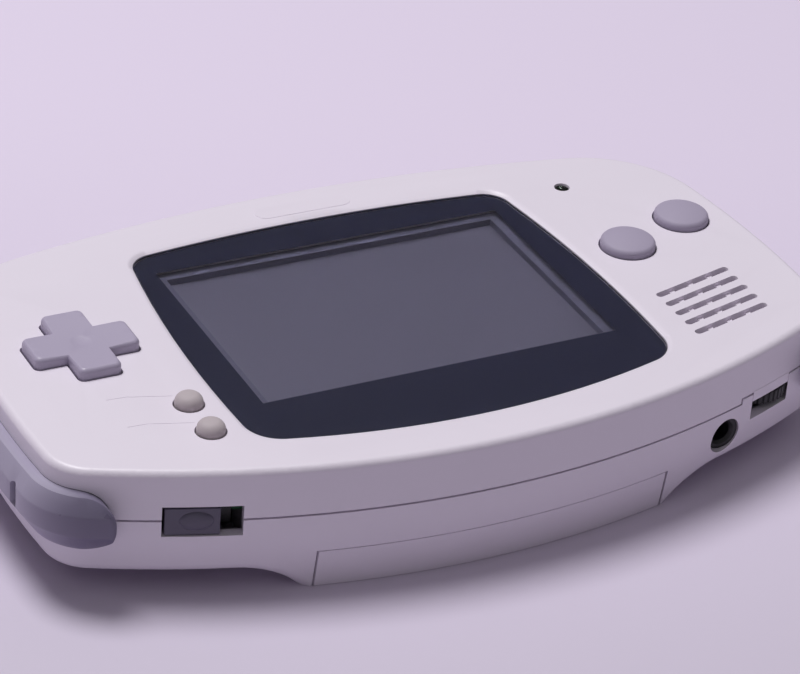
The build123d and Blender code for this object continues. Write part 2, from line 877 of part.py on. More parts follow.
# Rear shell: back, lower half of the side wall, battery box and cartridge bay
cover_room_half_width = cover_half_width + seam_gap
cover_room_back_y = cover_back_y + seam_gap
hollow_inset = wall + (crease_z - wing_floor_z) * tan(radians(rear_draft))
with BuildPart() as rear_shell:
    add(rear_form.part)
    prism([casing_plan(-hollow_inset)], wing_floor_z, seam_z, Mode.SUBTRACT)
    prism([casing_plan(-wall)], crease_z, seam_z, Mode.SUBTRACT)

    # Lip inside the seam
    lip = casing_plan(-lip_inset - lip_thickness)
    prism([casing_plan(-wall + bite), lip], seam_low_z - lip_root, seam_low_z)
    prism([casing_plan(-lip_inset), lip], seam_low_z - bite, seam_z + lip_height)
    add(wheel_tongue.part)

    # Battery box
    slab(
        (-cover_room_half_width, cover_room_half_width),
        (front_y - overrun, cover_room_back_y),
        (-overrun, cover_top_z + seam_gap),
        Mode.SUBTRACT,
    )
    add(box_walls.part)
    add(box_room.part, mode=Mode.SUBTRACT)

    # Cartridge bay, open at the back edge, with guides and a thumb cutout
    slab(
        (-slot_half_width, slot_half_width),
        (slot_start_y, back_y + overrun),
        (slot_low_z, slot_high_z),
        Mode.SUBTRACT,
    )
    for side in (-1, 1):
        guide = sorted((side * slot_half_width, side * (slot_half_width + guide_wall)))
        slab(guide, (connector_y, back_y - wall), (slot_low_z, slot_high_z))
    with BuildSketch(Plane.XY.offset(-overrun)):
        with Locations((0, back_y)):
            Rectangle(2 * thumb_half_width, 2 * thumb_depth)
        deep = [v for v in vertices() if v.Y < back_y]
        fillet(deep, thumb_depth / 2)
    extrude(amount=overrun + slot_low_z, mode=Mode.SUBTRACT)

    # Screw bosses with their countersunk seats
    for x, y in screw_places:
        post(x, y, wing_floor_z - bite, board_low_z - fit_gap, boss_radius)
        post(x, y, -overrun, board_low_z, screw_radius + fit_gap, Mode.SUBTRACT)
        post(
            x,
            y,
            -overrun,
            wing_floor_z + screw_head_height,
            screw_head_radius + fit_gap,
            Mode.SUBTRACT,
        )

    # Openings in the wall
    for side in (-1, 1):
        cut_shoulder_pocket(side)
        pin_place = (side * shoulder_pin_x, shoulder_pin_y)
        pin_seat_z = wing_floor_z + screw_head_height
        post(*pin_place, wing_floor_z - bite, pin_seat_z, pin_boss_radius)
        post(*pin_place, wing_floor_z, pin_seat_z, pin_radius + fit_gap / 2, Mode.SUBTRACT)
    add(rail_seats, mode=Mode.SUBTRACT)
    cut_switch_slot()
    cut_strap_slot()
    cut_link_port()
    slab(
        wheel_slot_range,
        (front_y - overrun, wheel_y),
        (wheel_slot_low_z, tongue_z),
        Mode.SUBTRACT,
    )
    post(wheel_x, wheel_y, wheel_slot_low_z, tongue_z, wheel_radius + run_gap, Mode.SUBTRACT)
    with BuildSketch(Plane.XZ.offset(-front_wall_y(jack_x) - overrun)):
        with Locations((jack_x, jack_z)):
            Circle(jack_hole_radius)
    extrude(amount=2 * overrun, mode=Mode.SUBTRACT)
finish(rear_shell, "rear_shell")

casing_face = casing_plan().faces()[0]


def edges_standing_proud(piece, distance):
    """Edges across a piece's outermost face, this far outside the casing outline."""
    chosen = ShapeList()
    for edge in piece.edges().filter_by(Axis.Z, reverse=True):
        centre = edge @ 0.5
        if casing_face.distance_to(Vector(centre.X, centre.Y)) > distance - bite:
            chosen.append(edge)
    return chosen


# Side rails: crowned strips let into both shells, bevelled below and above
with BuildPart() as rail_crown:
    bevel_low_z = rail_low_z + rail_lower_rise
    bevel_high_z = rail_high_z - rail_upper_fall
    crest = casing_plan(rail_proud)
    sloped(casing_plan(rail_proud - rail_lower_bevel), crest, rail_low_z, bevel_low_z)
    prism([crest], bevel_low_z, bevel_high_z)
    sloped(crest, casing_plan(rail_proud - rail_upper_bevel), bevel_high_z, rail_high_z)
for side, name in ((-1, "side_rail_left"), (1, "side_rail_right")):
    with BuildPart() as side_rail:
        add(rail_form(side, -rail_seat_depth + fit_gap, overrun))
        add(rail_crown.part, mode=Mode.INTERSECT)
        fillet(edges_standing_proud(side_rail, rail_proud), rail_edge_radius)
        cut_strap_slot()
    finish(side_rail, name)

# Shoulder buttons: hollow caps that swing on a pin at their inner end
for side, name in ((-1, "shoulder_button_left"), (1, "shoulder_button_right")):
    with BuildPart() as shoulder_button:
        sketch = shoulder_sketch(side, 0.0, shoulder_proud, -shoulder_thickness)
        prism([sketch], shoulder_low_z, shoulder_high_z)
        fillet(edges_standing_proud(shoulder_button, shoulder_proud), shoulder_edge_radius)
        with BuildSketch() as hollow:
            add(shoulder_sketch(side, -wall, -wall, -shoulder_thickness - bite))
            with Locations((side * shoulder_pin_x, shoulder_pin_y)):
                Circle(2 * pin_boss_radius, mode=Mode.SUBTRACT)
        floor_range = (shoulder_low_z + cover_wall, shoulder_high_z - cover_wall)
        prism([hollow.sketch], *floor_range, Mode.SUBTRACT)
        pin_place = (side * shoulder_pin_x, shoulder_pin_y)
        post(
            *pin_place,
            shoulder_low_z,
            shoulder_high_z,
            pin_radius + fit_gap / 2,
            Mode.SUBTRACT,
        )
    finish(shoulder_button, name)

shoulder_pin_places = both_sides([(shoulder_pin_x, shoulder_pin_y)])
with BuildPart() as shoulder_pins:
    for x, y in shoulder_pin_places:
        post(x, y, wing_floor_z, face_inner_z, pin_radius)
finish(shoulder_pins, "shoulder_pins")

# Torsion springs, around the pins below the shoulder buttons
spring_low_z = wing_floor_z + screw_head_height + spring_wire / 2
spring_pitch = (shoulder_low_z - fit_gap - spring_wire / 2 - spring_low_z) / spring_turns
spring_radius = pin_radius + spring_wire
with BuildPart() as shoulder_springs:
    for x, y in shoulder_pin_places:
        with BuildLine(mode=Mode.PRIVATE) as coil:
            Helix(
                spring_pitch,
                spring_pitch * spring_turns,
                spring_radius,
                center=(x, y, spring_low_z),
            )
        with BuildSketch(
            Plane(origin=coil.line @ 0, z_dir=coil.line % 0), mode=Mode.PRIVATE
        ) as wire:
            Circle(spring_wire / 2)
        sweep(wire.sketch, path=coil.line, is_frenet=True)
finish(shoulder_springs, "shoulder_springs")


def upper_corner_centre():
    """Centre of the casing's rounded upper corner, at the player's right."""
    top_y = back_y - top_arc_radius
    side_x = body_half_width - side_arc_radius
    to_top = top_arc_radius - top_corner_radius
    to_side = side_arc_radius - top_corner_radius
    between = sqrt(side_x**2 + (side_arc_y - top_y) ** 2)
    bearing = atan2(side_arc_y - top_y, side_x)
    turn = acos((to_top**2 + between**2 - to_side**2) / (2 * to_top * between))
    return to_top * cos(bearing - turn), top_y + to_top * sin(bearing - turn)


# Tactile switches behind the shoulder buttons, reached at the end of their swing
corner_x, corner_y = upper_corner_centre()
plunger_reach = top_corner_radius - shoulder_thickness - shoulder_travel - run_gap
with BuildPart() as shoulder_switches:
    for side in (-1, 1):
        switch_height = shoulder_switch_height
        corner = Location(
            (side * corner_x, corner_y, board_top_z + switch_height / 2),
            (0, 0, -side * shoulder_switch_turn),
        )
        body_y = plunger_reach - shoulder_plunger - shoulder_switch_width / 2
        with Locations(corner * Location((0, body_y, 0))):
            Box(shoulder_switch_length, shoulder_switch_width, switch_height)
        with Locations(corner * Location((0, plunger_reach - shoulder_plunger / 2, 0))):
            Box(2 * shoulder_plunger, shoulder_plunger, switch_height / 2)
finish(shoulder_switches, "shoulder_switches")

# Screen lens with the tape that holds it
with BuildPart() as screen_lens:
    prism([lens_plan()], lens_low_z, lens_top_z)
    chamfer(screen_lens.faces().sort_by(Axis.Z)[-1].edges(), lens_edge_chamfer)
finish(screen_lens, "screen_lens")

with BuildPart() as lens_tape:
    prism([lens_plan(-fit_gap), lens_plan(-fit_gap - tape_width)], ledge_top_z, lens_low_z)
finish(lens_tape, "lens_tape")


def frame_sketch(outer, inner):
    """Rectangular ring around the middle of the screen."""
    with BuildSketch() as frame:
        with Locations((0, screen_y)):
            Rectangle(*outer)
            Rectangle(*inner, mode=Mode.SUBTRACT)
    return frame.sketch


# Display panel, with its foam gasket, holder, ribbon and ribbon socket
with BuildPart() as lcd_panel:
    with Locations((0, screen_y, lcd_top_z - lcd_thickness / 2)):
        Box(lcd_width, lcd_height, lcd_thickness)
finish(lcd_panel, "lcd_panel")

with BuildPart() as lcd_gasket:
    gasket = frame_sketch((lcd_width, lcd_height), (lcd_view_width, lcd_view_height))
    prism([gasket], lcd_top_z, ledge_low_z)
finish(lcd_gasket, "lcd_gasket")

holder_leg_y = screen_y + holder_room[1] / 2 - lcd_leg_length / 2
with BuildPart() as lcd_holder:
    prism([frame_sketch(holder_size, holder_room)], lcd_low_z, ledge_low_z - fit_gap)
    for side in (-1, 1):
        x_range = sorted((side * holder_size[0] / 2, side * holder_room[0] / 2))
        beam_z_range = (lcd_low_z - lcd_beam_height, lcd_low_z)
        slab(x_range, (lcd_lower_leg_y, holder_leg_y), beam_z_range)
        for y in (holder_leg_y, lcd_lower_leg_y):
            y_range = (y - lcd_leg_length / 2, y + lcd_leg_length / 2)
            slab(x_range, y_range, (board_top_z, lcd_low_z))
finish(lcd_holder, "lcd_holder")

with BuildPart() as lcd_ribbon:
    with BuildSketch(Plane.YZ.offset(-ribbon_width / 2)):
        with BuildLine() as ribbon_line:
            ribbon_high_z = lcd_low_z - ribbon_thickness / 2
            ribbon_low_z = board_top_z + socket_height / 2
            FilletPolyline(
                (ribbon_end_y, ribbon_high_z),
                (ribbon_fold_y, ribbon_high_z),
                (ribbon_fold_y, ribbon_low_z),
                (socket_y + socket_depth / 2, ribbon_low_z),
                radius=ribbon_bend_radius,
            )
        trace(ribbon_line.line, line_width=ribbon_thickness)
    extrude(amount=ribbon_width)
finish(lcd_ribbon, "lcd_ribbon")

with BuildPart() as ribbon_socket:
    with Locations((0, socket_y, board_top_z + socket_height / 2)):
        Box(ribbon_width + 2 * socket_height, socket_depth, socket_height)
finish(ribbon_socket, "ribbon_socket")

# Directional pad: a dished cross on a round flange
dpad_flange_z = face_inner_z - dpad_lift_gap
dpad_low_z = dpad_flange_z - dpad_flange_thickness
with BuildPart() as dpad:
    cross = cross_sketch(dpad_half_length, dpad_half_arm, dpad_corner_radius)
    prism([cross], dpad_flange_z, dpad_top_z)
    rim = dpad.edges().filter_by(lambda e: e.center().Z > face_z)
    fillet(rim.filter_by(Axis.Z, reverse=True), dpad_edge_radius)
    dish_radius = (dpad_half_length**2 + dpad_dish_depth**2) / (2 * dpad_dish_depth)
    with Locations((dpad_x, dpad_y, dpad_top_z - dpad_dish_depth + dish_radius)):
        Sphere(dish_radius, mode=Mode.SUBTRACT)
    dimple_z = dpad_top_z - dpad_dish_depth - dpad_dimple_depth + dpad_dimple_radius
    with Locations((dpad_x, dpad_y, dimple_z)):
        Sphere(dpad_dimple_radius, mode=Mode.SUBTRACT)
    post(dpad_x, dpad_y, dpad_low_z, dpad_flange_z, dpad_flange_radius)
finish(dpad, "dpad")

with BuildPart() as dpad_membrane:
    sheet_z = board_top_z + sheet_thickness
    post(dpad_x, dpad_y, board_top_z, sheet_z, dpad_flange_radius)
    dome_height = dpad_low_z - fit_gap - sheet_z
    with Locations((dpad_x, dpad_y, sheet_z + dome_height / 2)):
        with PolarLocations(dpad_half_length - pill_radius, 4):
            Cone(pill_radius, pill_radius * dome_tip_share, dome_height)
finish(dpad_membrane, "dpad_membrane")


def round_button(x, y, cap, flange, stem_radius):
    """Round push button: domed cap, flange behind the face, and a stem below it."""
    radius, top_z, edge_radius = cap
    flange_radius, flange_thickness = flange
    flange_z = face_inner_z - run_gap
    stem_z = flange_z - 2 * flange_thickness
    with BuildPart() as button:
        post(x, y, flange_z, top_z, radius)
        with Locations((x, y, top_z - action_dome_radius)):
            Sphere(action_dome_radius, mode=Mode.INTERSECT)
        rim = button.edges().filter_by(GeomType.CIRCLE)
        rim = rim.filter_by(lambda e: abs(e.radius - radius) < bite).sort_by(Axis.Z)
        fillet(rim[-1], edge_radius)
        post(x, y, flange_z - flange_thickness, flange_z, flange_radius)
        post(x, y, stem_z, flange_z - flange_thickness, stem_radius)
    return button, stem_z


def membrane(places, sheet_radius, stem_z):
    """Rubber sheet on the board, with a dome under each button."""
    with BuildPart() as rubber:
        sheet_z = board_top_z + sheet_thickness
        dome_z = stem_z - fit_gap
        with BuildSketch(Plane.XY.offset(board_top_z)) as sheet:
            for place in places:
                with Locations(place):
                    Circle(sheet_radius)
            make_hull()
        extrude(sheet.sketch, amount=sheet_thickness)
        for x, y in places:
            with Locations((x, y, (sheet_z + dome_z) / 2)):
                Cone(pill_radius, pill_radius * dome_tip_share, dome_z - sheet_z)
    return rubber


action_cap = (action_radius, action_top_z, action_edge_radius)
action_flange = (action_flange_radius, action_flange_thickness)
for name, x, y in (
    ("button_a", button_a_x, button_a_y),
    ("button_b", button_b_x, button_b_y),
):
    button, stem_z = round_button(x, y, action_cap, action_flange, action_stem_radius)
    finish(button, name)
finish(membrane(action_places, 2 * pill_radius, stem_z), "action_membrane")

menu_cap = (menu_radius, menu_top_z, menu_edge_radius)
menu_flange = (menu_flange_radius, menu_flange_thickness)
for name, x, y in (
    ("start_button", start_x, start_y),
    ("select_button", select_x, select_y),
):
    button, stem_z = round_button(x, y, menu_cap, menu_flange, menu_radius)
    finish(button, name)
finish(membrane(menu_places, menu_flange_radius, stem_z), "menu_membrane")

# Power switch: a slider in the slot, and the switch body behind it
slider_y = slider_recess + slider_depth
slider_x = -switch_travel / 2
peg_z = board_top_z + switch_body_height / 2 - switch_z
with BuildPart() as power_switch_slider:
    slider_place = (slider_x, slider_recess + slider_depth / 2, 0)
    turned_box(slider_place, (slider_length, slider_depth, slider_height))
    grip_y = slider_recess + slider_grip_depth - slider_grip_radius
    with Locations(switch_plane.location * Location((slider_x, grip_y, 0))):
        Cylinder(slider_grip_radius, slider_height, mode=Mode.SUBTRACT)
    turned_box((slider_x, slider_y + slider_peg / 2, peg_z), (slider_peg,) * 3)
finish(power_switch_slider, "power_switch_slider")

with BuildPart() as power_switch_body:
    body_place = (0, slider_y + run_gap + switch_body_depth / 2, peg_z)
    turned_box(body_place, (switch_slot_length, switch_body_depth, switch_body_height))
    peg_room = (switch_travel + slider_peg + 2 * run_gap, 2 * slider_peg + 2 * run_gap)
    turned_box(
        (0, slider_y + run_gap, peg_z),
        (*peg_room, slider_peg + 2 * run_gap),
        Mode.SUBTRACT,
    )
finish(power_switch_body, "power_switch_body")

# Headphone jack: a threaded barrel in the wall and a body under the board
jack_front_y = front_wall_y(jack_x + jack_hole_radius) + jack_recess
jack_body_y = jack_front_y + jack_barrel_length
with BuildPart() as headphone_jack:
    with BuildSketch(Plane.XZ.offset(-jack_front_y)):
        with Locations((jack_x, jack_z)):
            Circle(jack_hole_radius - fit_gap)
    extrude(amount=-jack_barrel_length)
    slab(
        (jack_x - jack_body_half_width, jack_x + jack_body_half_width),
        (jack_body_y, jack_front_y + jack_body_length),
        (jack_z - jack_hole_radius + fit_gap, board_low_z),
    )
    with BuildSketch(Plane.XZ.offset(-jack_front_y)):
        with Locations((jack_x, jack_z)):
            Circle(jack_bore_radius)
    extrude(amount=-jack_body_length + wall, mode=Mode.SUBTRACT)
    mouth = headphone_jack.edges().filter_by(GeomType.CIRCLE).sort_by(Axis.Y)
    mouth = mouth.filter_by(lambda e: abs(e.radius - jack_bore_radius) < bite)
    chamfer(mouth[0], jack_bevel)
finish(headphone_jack, "headphone_jack")

# Volume wheel with its knurled rim, and the potentiometer that carries it
wheel_high_z = board_low_z - fit_gap
wheel_low_z = wheel_high_z - wheel_thickness
with BuildPart() as volume_wheel:
    post(wheel_x, wheel_y, wheel_low_z, wheel_high_z, wheel_radius)
    with Locations((wheel_x, wheel_y, (wheel_low_z + wheel_high_z) / 2)):
        with PolarLocations(wheel_radius, wheel_teeth):
            Cylinder(wheel_tooth_radius, wheel_thickness, mode=Mode.SUBTRACT)
        Cylinder(wheel_shaft_radius + fit_gap / 2, wheel_thickness, mode=Mode.SUBTRACT)
finish(volume_wheel, "volume_wheel")

with BuildPart() as volume_pot:
    post(wheel_x, wheel_y, board_top_z, board_top_z + pot_height, pot_radius)
    post(wheel_x, wheel_y, wheel_low_z - fit_gap, board_top_z, wheel_shaft_radius)
    washer_z = wheel_low_z - fit_gap
    post(wheel_x, wheel_y, washer_z - lip_thickness, washer_z, 2 * wheel_shaft_radius)
finish(volume_pot, "volume_pot")

# Speaker behind its grille, with a foam ring
speaker_top_z = face_inner_z - speaker_gasket_thickness
speaker_mid_z = speaker_top_z - speaker_thickness / 2
with BuildPart() as speaker:
    post(speaker_x, speaker_y, speaker_mid_z, speaker_top_z, speaker_radius)
    post(
        speaker_x,
        speaker_y,
        speaker_top_z - speaker_thickness,
        speaker_mid_z,
        speaker_radius * magnet_share,
    )
    with Locations((speaker_x, speaker_y, speaker_top_z + cone_radius - cone_depth)):
        Sphere(cone_radius, mode=Mode.SUBTRACT)
finish(speaker, "speaker")

with BuildPart() as speaker_gasket:
    post(speaker_x, speaker_y, speaker_top_z, face_inner_z, speaker_radius)
    post(
        speaker_x,
        speaker_y,
        speaker_top_z,
        face_inner_z,
        speaker_radius - wall,
        Mode.SUBTRACT,
    )
finish(speaker_gasket, "speaker_gasket")

# Power light on the board, and the clear pipe that carries it to the face
with BuildPart() as power_led:
    with Locations((led_x, led_y, board_top_z + led_height / 2)):
        Box(led_length, led_width, led_height)
finish(power_led, "power_led")

with BuildPart() as light_pipe:
    pipe_radius = led_hole_radius - fit_gap
    post(led_x, led_y, board_top_z + led_height + fit_gap, face_z - light_pipe_recess, pipe_radius)
    post(
        led_x,
        led_y,
        face_inner_z - fit_gap - lip_thickness,
        face_inner_z - fit_gap,
        2 * led_hole_radius,
    )
finish(light_pipe, "light_pipe")

# Link port: a metal sleeve around a contact tongue
port_mid_z = board_top_z + port_outer_height / 2
port_front_y = back_y - port_recess
with BuildPart() as link_port:
    with Locations((0, port_front_y - port_depth / 2, port_mid_z)):
        Box(port_width, port_depth, port_outer_height)
    with Locations((0, port_front_y - port_depth / 2 + port_wall, port_mid_z)):
        Box(port_width - 2 * port_wall, port_depth, port_height, mode=Mode.SUBTRACT)
    tongue_width = port_width - 2 * port_wall - 2 * port_tongue_margin
    with Locations((0, port_front_y - port_depth / 2 - port_recess, port_mid_z)):
        Box(tongue_width, port_depth - 2 * port_recess, port_tongue_thickness)
finish(link_port, "link_port")

# Cartridge connector under the board, with its row of contacts
connector_back_y = connector_y + connector_depth / 2
connector_slot_half = contact_pins * pin_pitch / 2
connector_slot_z = (slot_low_z + slot_high_z) / 2
with BuildPart() as cartridge_connector:
    slab(
        (-connector_half_width, connector_half_width),
        (connector_y - connector_depth / 2, connector_back_y),
        (slot_low_z + fit_gap, board_low_z),
    )
    slab(
        (-connector_slot_half, connector_slot_half),
        (connector_y - connector_depth / 4, connector_back_y),
        (connector_slot_z - pin_pitch, connector_slot_z + pin_pitch),
        Mode.SUBTRACT,
    )
finish(cartridge_connector, "cartridge_connector")

with BuildPart() as cartridge_contacts:
    contact_length = connector_depth * 3 / 4
    contact_z = connector_slot_z - pin_pitch + pin_width / 4
    for i in range(contact_pins):
        x = (i - (contact_pins - 1) / 2) * pin_pitch
        with Locations((x, connector_back_y - contact_length / 2, contact_z)):
            Box(pin_width, contact_length, pin_width / 2)
finish(cartridge_contacts, "cartridge_contacts")

# Main board, cut away around the battery box, the shoulder buttons, switch and jack
with BuildPart() as main_board:
    prism([casing_plan(-board_inset)], board_low_z, board_top_z)
    for side in (-1, 1):
        depth = shoulder_thickness + run_gap
        sketch = shoulder_sketch(side, 2 * run_gap, overrun, -depth, shoulder_travel)
        prism([sketch], board_low_z, board_top_z, Mode.SUBTRACT)
    notch = bay_outer_half_width + 2 * run_gap
    slab(
        (-notch, notch),
        (front_y, bay_outer_back_y + 2 * run_gap),
        (board_low_z, board_top_z),
        Mode.SUBTRACT,
    )
    notch_size = (switch_slot_length + 2 * wall, 2 * (slider_y + run_gap), switch_slot_height)
    turned_box((0, 0, 0), notch_size, Mode.SUBTRACT)
    slab(
        (jack_x - jack_hole_radius, jack_x + jack_hole_radius),
        (front_y, jack_body_y + fit_gap),
        (board_low_z, board_top_z),
        Mode.SUBTRACT,
    )
    for x, y in screw_places + board_screw_places:
        post(x, y, board_low_z, board_top_z, screw_radius + run_gap, Mode.SUBTRACT)
    post(
        wheel_x,
        wheel_y,
        board_low_z,
        board_top_z,
        wheel_shaft_radius + run_gap,
        Mode.SUBTRACT,
    )
finish(main_board, "main_board")


def board_parts(name, shares, size, z_side):
    """Group of like parts on one side of the board, +1 for its upper side."""
    length, width, height = size
    z = board_top_z + height / 2 if z_side > 0 else board_low_z - height / 2
    with BuildPart() as group:
        for x, y in places_in_casing(shares):
            with Locations((x, y, z)):
                Box(length, width, height)
    finish(group, name)


board_parts("processor_chip", processor_shares, processor_size, 1)
board_parts("memory_chips", memory_shares, memory_size, 1)
board_parts("power_transformer", transformer_shares, transformer_size, -1)
board_parts("clock_crystal", crystal_shares, crystal_size, 1)

with BuildPart() as capacitors:
    for x, y in places_in_casing(capacitor_shares):
        post(x, y, board_low_z - capacitor_height, board_low_z, capacitor_radius)
finish(capacitors, "capacitors")

# Battery cells, side by side and head to tail, each pressed against its plate
cell_shift = contact_room - plate_thickness - plate_dimple
for name, y, nub_side in (
    ("battery_cell_1", cell_front_y, 1),
    ("battery_cell_2", cell_back_y, -1),
):
    with BuildPart() as cell:
        flat_x = nub_side * (cell_shift - cell_length / 2)
        with BuildSketch(Plane.YZ.offset(flat_x)):
            with Locations((y, cell_z)):
                Circle(cell_radius)
        extrude(amount=nub_side * (cell_length - cell_nub_length))
        fillet(cell.edges().filter_by(GeomType.CIRCLE), cell_edge_radius)
        nub_x = nub_side * (cell_shift + cell_length / 2 - cell_nub_length)
        with BuildSketch(Plane.YZ.offset(nub_x)):
            with Locations((y, cell_z)):
                Circle(cell_nub_radius)
        extrude(amount=nub_side * cell_nub_length)
    finish(cell, name)

# Battery contacts: coil springs at the flat ends, dimpled plates at the nubs
with BuildPart() as battery_springs:
    for y, side in ((cell_front_y, -1), (cell_back_y, 1)):
        spring_start = side * (cell_length / 2 - cell_shift + contact_wire / 2 + fit_gap / 2)
        coil_length = contact_room + cell_shift - contact_wire - fit_gap
        with BuildLine(mode=Mode.PRIVATE) as coil:
            Helix(
                coil_length / contact_turns,
                coil_length,
                contact_coil_radius,
                center=(spring_start, y, cell_z),
                direction=(side, 0, 0),
            )
        with BuildSketch(
            Plane(origin=coil.line @ 0, z_dir=coil.line % 0), mode=Mode.PRIVATE
        ) as wire:
            Circle(contact_wire / 2)
        sweep(wire.sketch, path=coil.line, is_frenet=True)
finish(battery_springs, "battery_springs")

with BuildPart() as battery_plates:
    for y, side in ((cell_front_y, 1), (cell_back_y, -1)):
        half = contact_coil_radius
        x_range = sorted((side * bay_half_width, side * (bay_half_width - plate_thickness)))
        slab(x_range, (y - half, y + half), (cell_z - half, cell_z + half))
        with BuildSketch(Plane.YZ.offset(side * (bay_half_width - plate_thickness))):
            with Locations((y, cell_z)):
                Circle(cell_nub_radius)
        extrude(amount=-side * plate_dimple)
finish(battery_plates, "battery_plates")


def screw(x, y, head_z, length, head_height, head_radius):
    """Pan head screw, head down, with a cross recess."""
    post(x, y, head_z - head_height, head_z, head_radius)
    post(x, y, head_z, head_z + length, screw_radius)
    for turn in (0, 90):
        with Locations(Location((x, y, head_z - head_height), (0, 0, turn))):
            Box(head_radius, screw_recess_width, head_height, mode=Mode.SUBTRACT)


with BuildPart() as case_screws:
    seat_z = wing_floor_z + screw_head_height
    for x, y in screw_places:
        length = face_inner_z - seat_z - screw_head_height
        screw(x, y, seat_z, length, screw_head_height, screw_head_radius)
finish(case_screws, "case_screws")

with BuildPart() as board_screws:
    for x, y in board_screw_places:
        screw(x, y, board_low_z, board_screw_length, screw_head_height, screw_head_radius)
finish(board_screws, "board_screws")
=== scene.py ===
"""Handheld game console: the finish of every piece, the stage and the camera.

Lengths are in metres in the scene. Values named with _mm are millimetres.
"""
import json
import math

import bpy
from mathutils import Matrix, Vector

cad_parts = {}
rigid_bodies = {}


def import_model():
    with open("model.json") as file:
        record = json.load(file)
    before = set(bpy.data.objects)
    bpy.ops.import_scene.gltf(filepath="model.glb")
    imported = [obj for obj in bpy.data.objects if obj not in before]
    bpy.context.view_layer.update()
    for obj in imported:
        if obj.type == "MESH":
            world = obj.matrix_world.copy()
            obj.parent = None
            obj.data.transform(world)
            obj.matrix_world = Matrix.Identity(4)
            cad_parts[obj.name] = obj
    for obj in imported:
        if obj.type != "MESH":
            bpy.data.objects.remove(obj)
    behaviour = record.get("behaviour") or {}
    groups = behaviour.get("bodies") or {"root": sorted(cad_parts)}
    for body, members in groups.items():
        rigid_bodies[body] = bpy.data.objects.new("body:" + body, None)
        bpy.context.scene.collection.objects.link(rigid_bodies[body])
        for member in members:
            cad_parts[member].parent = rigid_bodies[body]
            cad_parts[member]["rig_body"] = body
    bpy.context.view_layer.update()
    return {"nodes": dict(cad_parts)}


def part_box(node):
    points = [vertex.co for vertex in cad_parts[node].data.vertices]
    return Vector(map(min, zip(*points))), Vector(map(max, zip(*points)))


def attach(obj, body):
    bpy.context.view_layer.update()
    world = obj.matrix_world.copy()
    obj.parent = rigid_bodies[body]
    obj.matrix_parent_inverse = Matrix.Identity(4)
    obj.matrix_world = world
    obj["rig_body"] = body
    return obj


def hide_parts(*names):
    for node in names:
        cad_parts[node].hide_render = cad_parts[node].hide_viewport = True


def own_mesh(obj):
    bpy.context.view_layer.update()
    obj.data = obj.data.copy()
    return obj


bl_info = {
    "name": "Handheld Game Console",
    "version": (1, 0, 0),
    "blender": (4, 5, 0),
    "location": "View3D > Sidebar > Console",
    "description": "Dresses the packed console with its finishes, stage and camera",
    "category": "Object",
}

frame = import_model()
nodes = frame["nodes"]

MM = 0.001

# Finest detail: points this near are one, and faces this flat to each other are one
MERGE_MM = 0.002
FLAT_ANGLE = math.radians(0.2)

# Edges sharper than this are rounded, and the rest are smoothed
SHARP_ANGLE = math.radians(35)

# A face that looks down has a normal whose Z is below this
LOOKS_DOWN = -0.9

# Painted light on the table: it fades from its near to its far colour along this direction, this
# far either way
FADE_DIRECTION = (0.45, 0.9, 0.0)
FADE_REACH = 0.12

# Colours of the studio dome, each with its height from 0, the horizon, to 1, overhead
SKY_STEPS = (("8A878C", 0.0), ("9D9A9F", 0.25), ("8E8B90", 0.5), ("FFFFFF", 0.8))


def linear(code):
    """sRGB hex colour as linear red, green and blue."""
    channels = [int(code[i : i + 2], 16) / 255 for i in (0, 2, 4)]
    return tuple(c / 12.92 if c <= 0.04045 else ((c + 0.055) / 1.055) ** 2.4 for c in channels)


def opaque(colour):
    """Colour with full alpha."""
    return (*colour, 1.0)


def add_node(tree, kind, settings=None, inputs=None):
    """One node with its settings, and a value or a link for each named input."""
    node = tree.nodes.new(kind)
    for key, value in (settings or {}).items():
        setattr(node, key, value)
    for key, value in (inputs or {}).items():
        if isinstance(value, bpy.types.NodeSocket):
            tree.links.new(value, node.inputs[key])
        else:
            node.inputs[key].default_value = value
    return node


def new_material(name, colour, roughness, values=None):
    """Material with its shader, ready for textures."""
    material = bpy.data.materials.new(name)
    material.use_nodes = True
    tree = material.node_tree
    shader = tree.nodes["Principled BSDF"]
    shader.inputs["Base Color"].default_value = opaque(colour)
    shader.inputs["Roughness"].default_value = roughness
    for key, value in (values or {}).items():
        shader.inputs[key].default_value = value
    return material, tree, shader


def mottle(tree, shader, colour, size_mm, amount, detail=3.0):
    """Faint light and dark clouds in a colour, at a real size."""
    place = add_node(tree, "ShaderNodeTexCoord")
    clouds = add_node(
        tree,
        "ShaderNodeTexNoise",
        inputs={"Vector": place.outputs["Object"], "Scale": 1 / (size_mm * MM), "Detail": detail},
    )
    dark = opaque([c * (1 - amount) for c in colour])
    light = opaque([min(1.0, c * (1 + amount)) for c in colour])
    mix = add_node(
        tree,
        "ShaderNodeMix",
        {"data_type": "RGBA"},
        {"Factor": clouds.outputs["Fac"], 6: dark, 7: light},
    )
    tree.links.new(mix.outputs[2], shader.inputs["Base Color"])


def grain(tree, shader, size_mm, depth_mm, strength=1.0):
    """Fine bumps of a moulded or blasted surface."""
    place = add_node(tree, "ShaderNodeTexCoord")
    bumps = add_node(
        tree,
        "ShaderNodeTexNoise",
        inputs={"Vector": place.outputs["Object"], "Scale": 1 / (size_mm * MM), "Detail": 2.0},
    )
    bump = add_node(
        tree,
        "ShaderNodeBump",
        inputs={"Height": bumps.outputs["Fac"], "Distance": depth_mm * MM, "Strength": strength},
    )
    tree.links.new(bump.outputs["Normal"], shader.inputs["Normal"])


